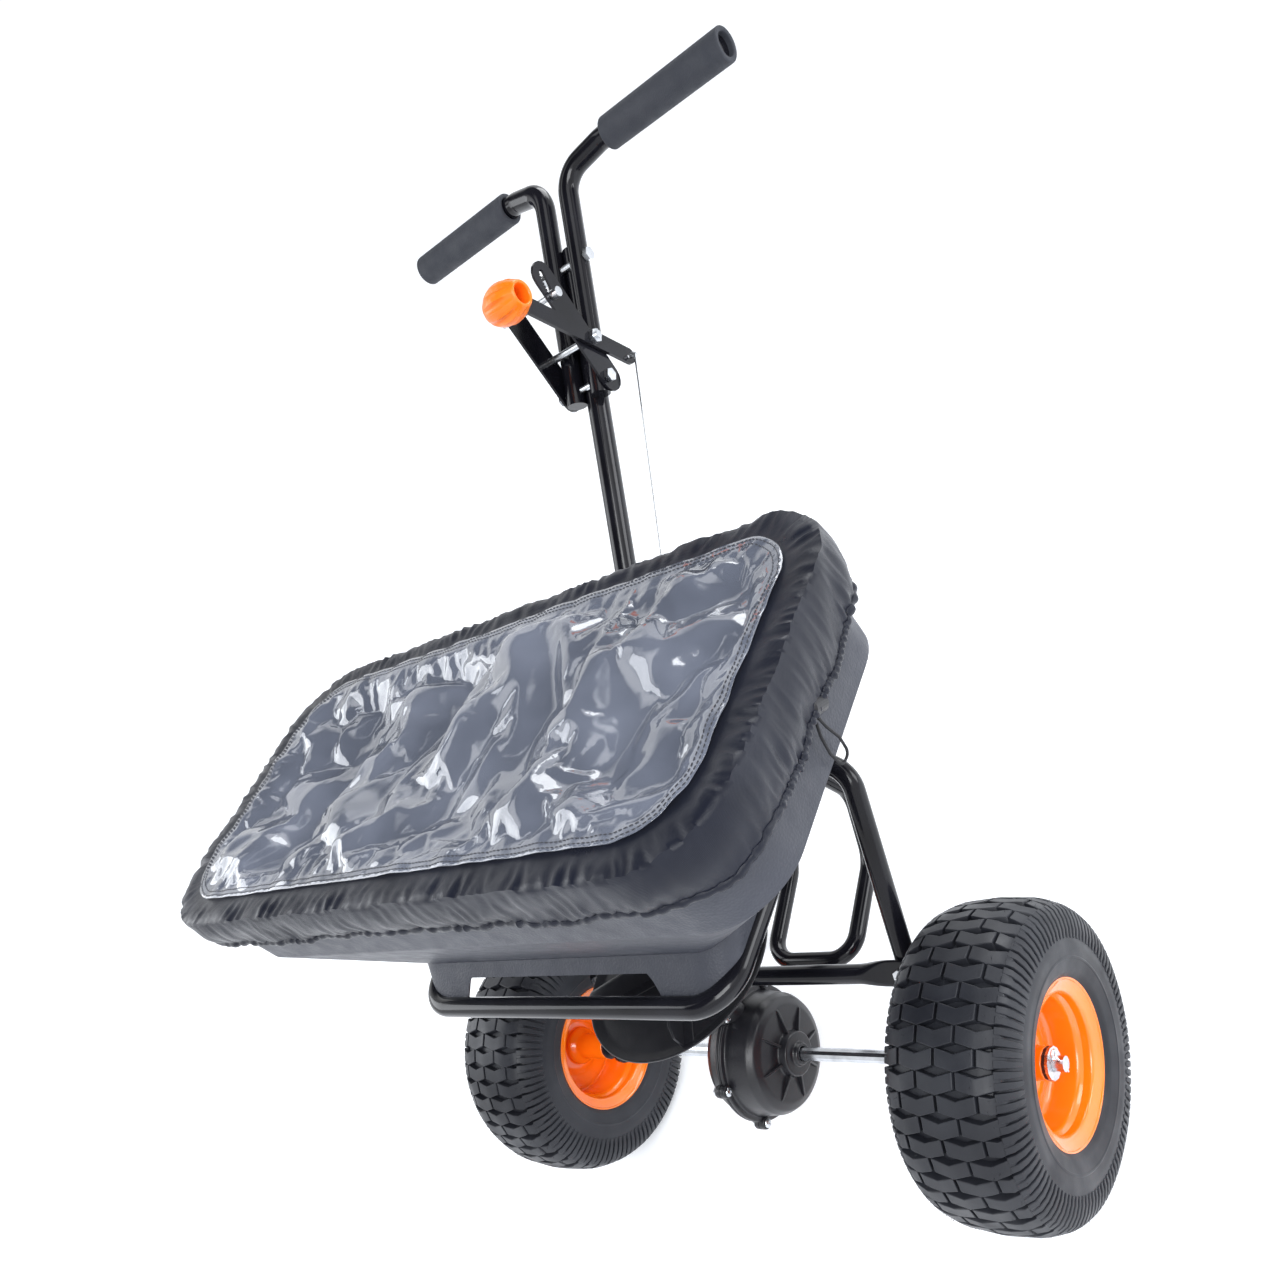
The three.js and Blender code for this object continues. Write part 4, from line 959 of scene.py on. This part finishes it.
def tube(name, corners, radius, bends, slot, body, up=(1, 0, 0), flat=None, sides=28, replaces=()):
    """A round tube in machine millimetres; flat says how its named ends are pressed."""
    line = bent_line(corners, bends)
    if flat and flat.get("start"):
        line[0:1] = end_places(line[0], line[1], flat)
    if flat and flat.get("end"):
        line[-1:] = list(reversed(end_places(line[-1], line[-2], flat)))
    lengths = [0.0]
    for a, b in zip(line, line[1:]):
        lengths.append(lengths[-1] + (b - a).length)
    depth = Vector(up)
    points = []
    for i, centre in enumerate(line):
        forward = (line[min(i + 1, len(line) - 1)] - line[max(i - 1, 0)]).normalized()
        depth = (depth - forward * depth.dot(forward)).normalized()
        across = forward.cross(depth).normalized()
        wide, thick, power = section_of(lengths[i], lengths[-1], radius, flat)
        for k in range(sides):
            angle = 2 * math.pi * (k + 0.5) / sides
            c, n = math.cos(angle), math.sin(angle)
            a = math.copysign(abs(c) ** (2 / power), c) * wide
            b = math.copysign(abs(n) ** (2 / power), n) * thick
            points.append(at(*(centre + across * a + depth * b)))
    faces = lattice(len(line), sides, False)
    faces.append(tuple(reversed(range(sides))))
    faces.append(tuple(range((len(line) - 1) * sides, len(line) * sides)))
    return facing_out(piece(name, points, faces, slot, body, replaces))


def section_of(distance, total, radius, flat):
    """Half width, half thickness and squareness of a tube's section."""
    wide, thick, power = radius, radius, 2.0
    if not flat:
        return wide, thick, power
    for key, d in (("start", distance), ("end", total - distance)):
        if not flat.get(key):
            continue
        t = min(1, max(0, (d - flat["reach"]) / flat["taper"]))
        k = 1 - t * t * (3 - 2 * t)
        half = flat["width"] / 2
        tip = math.sqrt(max(0.04, 1 - ((half - d) / half) ** 2)) if d < half else 1
        wide = (wide + (half - radius) * k) * tip
        thick += (flat["thick"] / 2 - radius) * k
        power += 3 * k
    return wide, thick, power


def bolt_holes(tube_piece, bolts):
    """Holes for the bolts that pass through a tube, each given by a CAD node, an axis and a length."""
    tools = []
    for bolt, axis, length in bolts:
        low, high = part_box(bolt)
        tools.append(cylinder("bore", (low + high) / 2, Vector(axis).normalized(), BOLT_BORE, length, 20))
    subtract(tube_piece, tools)


TUBE_R, BOLT_BORE = 11, 4.3
ARCH_X, ARCH_TOP, ARCH_FOOT = 226, (188, 440), (38, 205.6)
ARCH_WAY = Vector((0, ARCH_TOP[0] - ARCH_FOOT[0], ARCH_TOP[1] - ARCH_FOOT[1])).normalized()
ARCH_FACE = Vector((0, -ARCH_WAY.z, ARCH_WAY.y))
PADDLE_TIP, PADDLE = 15, 5
ON_TUBE = TUBE_R + 0.3 + PADDLE / 2


def pressed(width, thick, reach, taper, ends=("start", "end")):
    """How the named ends of a tube are pressed flat, in millimetres."""
    return {"width": width, "thick": thick, "reach": reach, "taper": taper, **{end: 1 for end in ends}}


def frame_tube(name, node, corners, bends, **shape):
    radius = shape.pop("radius", TUBE_R)
    return tube(name, corners, radius, bends, "gloss_black", "frame", replaces=[node], **shape)


def make_frame_tubes():
    foot = [Vector((s * ARCH_X, *ARCH_FOOT)) - ARCH_WAY * PADDLE_TIP for s in (-1, 1)]
    top = [Vector((s * ARCH_X, *ARCH_TOP)) for s in (-1, 1)]
    arch = frame_tube(
        "arch_tube", "rear_arch", [foot[0], top[0], top[1], foot[1]], 34, flat=pressed(30, 6, 36, 18))
    on_arch = ARCH_WAY * 48 + ARCH_FACE * ON_TUBE
    brace_end = [Vector((s * (ARCH_X + PADDLE_TIP), *ARCH_FOOT)) + on_arch for s in (-1, 1)]
    brace = frame_tube(
        "brace_tube", "cross_brace", brace_end, [], up=ARCH_FACE, flat=pressed(30, PADDLE, 30, 34))
    bolt_z = ARCH_TOP[1] + ON_TUBE
    arms = []
    for s in (-1, 1):
        arms.append([
            Vector((s * 186, ARCH_TOP[0] + PADDLE_TIP, bolt_z)), Vector((s * 186, ARCH_TOP[0] - 26, bolt_z)),
            Vector((s * 217, ARCH_TOP[0] - 96, 474)), Vector((s * 217, -111, 474))])
    bar = frame_tube(
        "hopper_bar", "hopper_frame", arms[0] + arms[1][::-1], [34, 60, 42, 42, 60, 34], up=(0, 0, 1),
        flat=pressed(30, PADDLE, 28, 20))
    low = ARCH_TOP[1] - ON_TUBE
    halves = []
    for s in (1, -1):
        places = (ARCH_TOP[0] - 12, low), (ARCH_TOP[0] + 78, low), (338, 226), (286, 150), (150, 126)
        halves.append([Vector((s * 62, *place)) for place in places])
    frame_tube(
        "loop_tube", "rear_loop", halves[0] + halves[1][::-1], [40, 45, 45, 34, 34, 45, 45, 40], up=(0, 0, 1),
        flat=pressed(28, PADDLE, 28, 16))
    brace_bolts, frame_bolts, plate_bolts = (
        [(f"{kind}_bolt_{name}", way, length) for name in ("left", "right")]
        for kind, way, length in (
            ("brace", ARCH_FACE, 60), ("frame", (0, 0, 1), 80), ("plate", (1, 0, 0), 60)))
    bolt_holes(arch, brace_bolts + frame_bolts + plate_bolts)
    bolt_holes(brace, brace_bolts)
    bolt_holes(bar, frame_bolts)
    for name, s in SIDES.items():
        x = s * (ARCH_X - 3 - 0.3 - PADDLE / 2)
        knee = Vector((x, 84, 164))
        start = Vector((x, *ARCH_FOOT))
        corners = [start + (start - knee).normalized() * PADDLE_TIP, knee, Vector((x, 262, 22))]
        leg = frame_tube(
            f"stand_tube_{name}", f"stand_leg_{name}", corners, 60, radius=9,
            flat=pressed(26, PADDLE, 36, 16, ["start"]))
        bolt_holes(leg, [(f"plate_bolt_{name}", (1, 0, 0), 60)])


POST_LOW, POST_TOP = Vector((349, 629)), Vector((606, 868))
BRACKET_AT = Vector((502, 769))
POST_WAY = (POST_TOP - POST_LOW).normalized()
POST_FACE = Vector((-POST_WAY.y, POST_WAY.x))
BAR_X, BAR_N, GRIP_IN, GRIP_OUT, GRIP_Y, GRIP_Z = 18.6, 15.1, 80, 240, 663, 929


def on_post(s, n, x=0):
    """A point s along the post from the bracket and n square to it, towards the front."""
    p = BRACKET_AT + POST_WAY * s + POST_FACE * n
    return Vector((x, p.x, p.y))


def make_handle_tubes():
    behind = ARCH_TOP[0] + ON_TUBE
    bolts = [("bracket_bolt_low", (1, 0, 0), 100), ("bracket_bolt_high", (1, 0, 0), 100)]
    corners = [
        (0, behind, ARCH_TOP[1] - PADDLE_TIP), (0, behind, ARCH_TOP[1] + 68),
        (0, POST_LOW.x - 60, POST_LOW.y - 56), on_post(-220, 0), (0, *POST_TOP)]
    post = frame_tube(
        "post_tube", "post", corners, [60, 120, 200], radius=12.5, up=(0, 1, 0),
        flat=pressed(32, PADDLE, 28, 24, ["start"]))
    bolt_holes(post, bolts)
    for name, s in SIDES.items():
        corners = [
            on_post(-22, BAR_N, s * BAR_X), on_post(212, BAR_N, s * BAR_X),
            (s * (GRIP_IN - 12), GRIP_Y, GRIP_Z), (s * (GRIP_OUT - 6), GRIP_Y, GRIP_Z)]
        bar = frame_tube(f"handle_tube_{name}", f"handlebar_{name}", corners, [30, 24], up=(0, -0.7, 0.7))
        bolt_holes(bar, bolts)


make_frame_tubes()
make_handle_tubes()


# ---- Gearbox and spinner ----
SHAFT_Y = 14  # the upright shaft stands behind the axle


def make_gearbox(name, side, depth):
    radius, flange, boss = 74, 7, 27
    centre = at(0, 0, AXLE_Z / MM)
    shoulder = radius - 8
    outer = [(0.3, 8.5), (0.3, radius + flange), (4.6, radius + flange), (4.6, radius + 1), (7, radius),
             (depth - 12, radius - 3), (depth - 4, shoulder), (depth - 0.5, shoulder - 9), (depth, boss + 8),
             (depth + 1, boss), (depth + 12, boss - 1), (depth + 12, 14),
              (depth + 18, 12.5), (depth + 18, 8.5)]
    half = turned(
        f"gear_case_{name}", outer, 2.2, centre, "black_plastic", "frame", [f"gearbox_{name}"], side,
        segments=128)
    subtract(half, [cylinder("bore", at(0, SHAFT_Y, AXLE_Z / MM + 80), Vector((0, 0, 1)), 6.4, 120, 24)])
    count = 6
    for i in range(count):
        angle = 2 * math.pi * (i + 0.5) / count
        y, z = (radius + flange + 1) * math.cos(angle), (radius + flange + 1) * math.sin(angle)
        place = at(0, y, AXLE_Z / MM + z)
        lug = [(0.3, 0.1), (0.3, 8), (6.5, 7.6), (7.5, 6.5), (7.5, 0.1)]
        turned(f"case_lug_{name}_{i}", lug, 0.8, place, "black_plastic", "frame", side=side, segments=32)
        if side > 0:
            head = [
                (7.8, 0.2), (7.8, 5.4), (8.4, 5.6), (9.6, 4.8), (10.6, 3), (10.8, 1.6),
                (9.4, 1.4), (9.2, 0.2)]
        else:
            head = [(7.8, 0.2), (7.8, 5.6), (11, 5.6), (11, 3), (12.4, 2.8), (12.4, 0.2)]
        turned(f"case_screw_{name}_{i}", head, 0.4, place, "zinc", "frame", side=side,
               segments=24 if side > 0 else 6)
    for i in range(8):
        # stiffening ribs run from the boss to the shoulder
        angle = 2 * math.pi * (i + 0.25) / 8
        way = Vector((0, math.cos(angle), math.sin(angle)))
        over = Vector((1, 0, 0)).cross(way)
        corners = []
        for out, x in ((boss - 4, depth - 4), (boss - 4, depth + 7), (shoulder - 12, depth + 1.6),
                       (shoulder - 4, depth - 4)):
            for thick in (-1.3, 1.3):
                corners.append(centre + (way * out + over * thick + Vector((side * x, 0, 0))) * MM)
        faces = [(0, 2, 4, 6), (7, 5, 3, 1), (0, 1, 3, 2), (2, 3, 5, 4), (4, 5, 7, 6), (6, 7, 1, 0)]
        bevelled(facing_out(piece(f"case_rib_{name}_{i}", corners, faces, "black_plastic", "frame")), 0.0008)


make_gearbox("left", 1, 44)
make_gearbox("right", -1, 32)


def make_collar():
    """The neck that the upright shaft leaves the gearbox through."""
    profile = [(60, 7), (94, 7), (94, 13.5), (92, 16), (72, 17), (60, 17)]
    turned("gear_case_collar", profile, 1.5, at(0, SHAFT_Y, AXLE_Z / MM), "black_plastic", "frame", axis="Z",
           segments=64)


make_collar()


def make_spinner():
    z, radius, thick = 340, 119, 3
    centre = at(0, SHAFT_Y, 0)
    outer = [(z, 6.4), (z + 36, 6.4), (z + 36, 15), (z + thick + 6, 19), (z + thick, 26),
             (z + thick, radius - 12),
             (z + 7, radius - 1), (z + 7, radius + 1), (z + 5, radius + 1), (z, radius - 10)]
    turned(
        "spinner_dish", outer, 2.5, centre, "black_plastic", "spreader", ["spinner"], axis="Z", segments=160)
    for i in range(4):
        angle = math.pi / 2 * (i + 0.32)
        turn = Matrix.Rotation(angle, 3, "Z")
        outline = [(24, 3), (24, 34), (30, 34), (100, 30), (113, 22), (113, 3)]
        points = []
        for x, h in outline:
            for y in (-1.5, 1.5):
                points.append(centre + turn @ Vector((x, y, z + h)) * MM)
        n = len(outline)
        faces = [tuple(2 * k for k in range(n)), tuple(2 * k + 1 for k in reversed(range(n)))]
        faces += [(2 * k, 2 * k + 1, 2 * ((k + 1) % n) + 1, 2 * ((k + 1) % n)) for k in range(n)]
        bevelled(facing_out(piece(f"spinner_fin_{i}", points, faces, "black_plastic", "spreader")), 0.0008)
        foot = []
        for h in (2.5, 5):
            for x, y in ((24, 1), (113, 1), (113, 13), (24, 13)):
                foot.append(centre + turn @ Vector((x, y, z + h)) * MM)
        faces = [(3, 2, 1, 0), (4, 5, 6, 7), (0, 1, 5, 4), (1, 2, 6, 5), (2, 3, 7, 6), (3, 0, 4, 7)]
        bevelled(facing_out(piece(f"spinner_fin_foot_{i}", foot, faces, "black_plastic", "spreader")), 0.0008)


make_spinner()


# ---- Lever knob, cord lock and drawcord ----
LEVER_END, LEVER_TIP, LEVER_WIDTH = (19, -20), (40.2, 118), 17


def make_knob():
    """A fluted oval across the lever's tip, hollow from its outer end."""
    way = (on_post(*LEVER_TIP) - on_post(*LEVER_END)).normalized()
    centre = on_post(*LEVER_TIP) + way * (LEVER_WIDTH / 2 + 11.5)
    low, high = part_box("control_lever")
    length = 50
    start = centre + Vector(((low.x + high.x) / 2 / MM + 14 - length, 0, 0))
    profile = [
        (0, 0.3), (0, 10), (3, 13.5), (8, 16.5), (13, 18.6), (19, 20.2), (25, 20.6), (32, 19.8), (38, 18),
        (44, 15.2), (48, 13.5), (length, 12), (49.5, 10.5), (48, 9.5), (23, 9.3), (22, 8), (22, 0.3)]
    profile = rounded(profile, 1.2, 3)
    points = []
    segments = 144
    count = len(profile)
    for s in range(segments):
        angle = 2 * math.pi * s / segments
        groove = max(0.0, -math.cos(8 * angle)) ** 0.6
        for k, (along, r) in enumerate(profile):
            share = max(0.0, math.sin(math.pi * along / length))
            outside = k < count * 0.7 and r > 9.8
            depth = 1 - (0.17 * share * groove if outside else 0)
            local = Vector((along, r * depth * math.cos(angle), r * depth * math.sin(angle)))
            points.append(at(*(start + local)))
    faces = lattice(segments, count)
    facing_out(piece("fluted_knob", points, faces, "knob_plastic", "lever", ["lever_knob"]))


make_knob()


def make_cord():
    """The drawcord's free loop, along the same corners as its CAD tube."""
    lock = Vector((377.3, 32, 660))
    lean = Vector((0, math.cos(math.pi / 3), math.sin(math.pi / 3)))
    mouth = lock - lean * 8.6 + Vector((0, -math.sin(math.pi / 3), math.cos(math.pi / 3))) * 2
    strand, drop, spread = 1.35, 44, 8

    def half(s):
        return [mouth + Vector((s * strand, 0, 0)), mouth + Vector((s * strand, s * spread * 0.5 - 3, -12)),
                mouth + Vector((s * strand, s * spread - 3, -28)),
                mouth + Vector((s * strand * 0.5, s * spread * 0.8 - 3, -drop))]
    line = bent_line(half(1) + half(-1)[::-1], [6, 8, 5.5, 5.5, 8, 6], 6)
    curve = bpy.data.curves.new("drawcord_loop", "CURVE")
    curve.dimensions = "3D"
    curve.bevel_depth = 1.2 * MM
    curve.bevel_resolution = 5
    curve.use_fill_caps = True
    spline = curve.splines.new("POLY")
    spline.points.add(len(line) - 1)
    for target, p in zip(spline.points, line):
        target.co = (*at(*p), 1)
    curve.materials.append(LOOKS["cord_elastic"])
    cord = bpy.data.objects.new("drawcord_loop", curve)
    bpy.context.scene.collection.objects.link(cord)
    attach(cord, "cover")
    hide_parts("drawcord")


make_cord()


# ---- Studio ----
def make_studio():
    size = 60
    floor = bpy.data.meshes.new("floor")
    corners = [(-size, -size, 0), (size, -size, 0), (size, size, 0), (-size, size, 0)]
    floor.from_pydata(corners, [], [(0, 1, 2, 3)])
    ground = bpy.data.objects.new("floor", floor)
    bpy.context.scene.collection.objects.link(ground)
    pale = Look("floor", (0.93, 0.94, 0.96), 0.6)
    pale.mottled(0.8, (0.9, 0.91, 0.94))
    pale.shader.inputs["Emission Color"].default_value = (0.93, 0.96, 1, 1)
    pale.shader.inputs["Emission Strength"].default_value = 0.4
    floor.materials.append(pale.material)

    world = bpy.data.worlds.new("studio")
    bpy.context.scene.world = world
    world.use_nodes = True
    tree = world.node_tree
    link = tree.links.new
    background = tree.nodes["Background"]
    background.inputs["Strength"].default_value = 1.0

    def node(kind, **sockets):
        made = tree.nodes.new(kind)
        for key, value in sockets.items():
            made.inputs[key.replace("_", " ")].default_value = value
        return made
    # bright and dark patches overhead, even light near the horizon
    place = node("ShaderNodeTexCoord").outputs["Generated"]
    split = node("ShaderNodeSeparateXYZ")
    link(place, split.inputs[0])
    patches = node("ShaderNodeTexNoise", Scale=1.3, Detail=0.0)
    link(place, patches.inputs["Vector"])
    contrast = node("ShaderNodeMapRange", From_Min=0.44, From_Max=0.56, To_Min=0.06, To_Max=1.9)
    contrast.interpolation_type = "SMOOTHSTEP"
    link(patches.outputs["Fac"], contrast.inputs["Value"])
    rise = node("ShaderNodeMapRange", From_Min=0.47, From_Max=0.66)
    link(split.outputs["Z"], rise.inputs["Value"])
    mix = node("ShaderNodeMix")
    mix.inputs[2].default_value = 1.08
    link(rise.outputs["Result"], mix.inputs[0])
    link(contrast.outputs["Result"], mix.inputs[3])
    tint = node("ShaderNodeMix")
    tint.data_type = "RGBA"
    tint.inputs[6].default_value = (0, 0, 0, 1)
    tint.inputs[7].default_value = (0.97, 0.985, 1.0, 1)
    tint.clamp_factor = False
    link(mix.outputs[0], tint.inputs[0])
    link(tint.outputs[2], background.inputs["Color"])

    def lamp(name, place, target, size, power, color=(1, 1, 1)):
        light = bpy.data.objects.new(name, bpy.data.lights.new(name, "AREA"))
        bpy.context.scene.collection.objects.link(light)
        light.data.size = size
        light.data.energy = power
        light.data.color = color
        light.location = place
        way = Vector(target) - Vector(place)
        light.rotation_euler = way.to_track_quat("-Z", "Y").to_euler()
    lamp("key", (1.6, -1.8, 2.8), (0, 0, 0.4), 1.6, 60, (0.96, 0.98, 1))
    lamp("fill", (-2.6, -0.8, 2.0), (0, 0, 0.4), 2.0, 40, (0.93, 0.96, 1))
    lamp("back", (0.5, 2.8, 2.2), (0, 0, 0.5), 1.8, 45, (0.96, 0.98, 1))
    lamp("side", (2.8, 0.9, 1.0), (0.3, -0.2, 0.3), 1.2, 24, (0.95, 0.97, 1))


make_studio()
bpy.context.scene.view_settings.view_transform = "Standard"

bpy.context.view_layer.update()
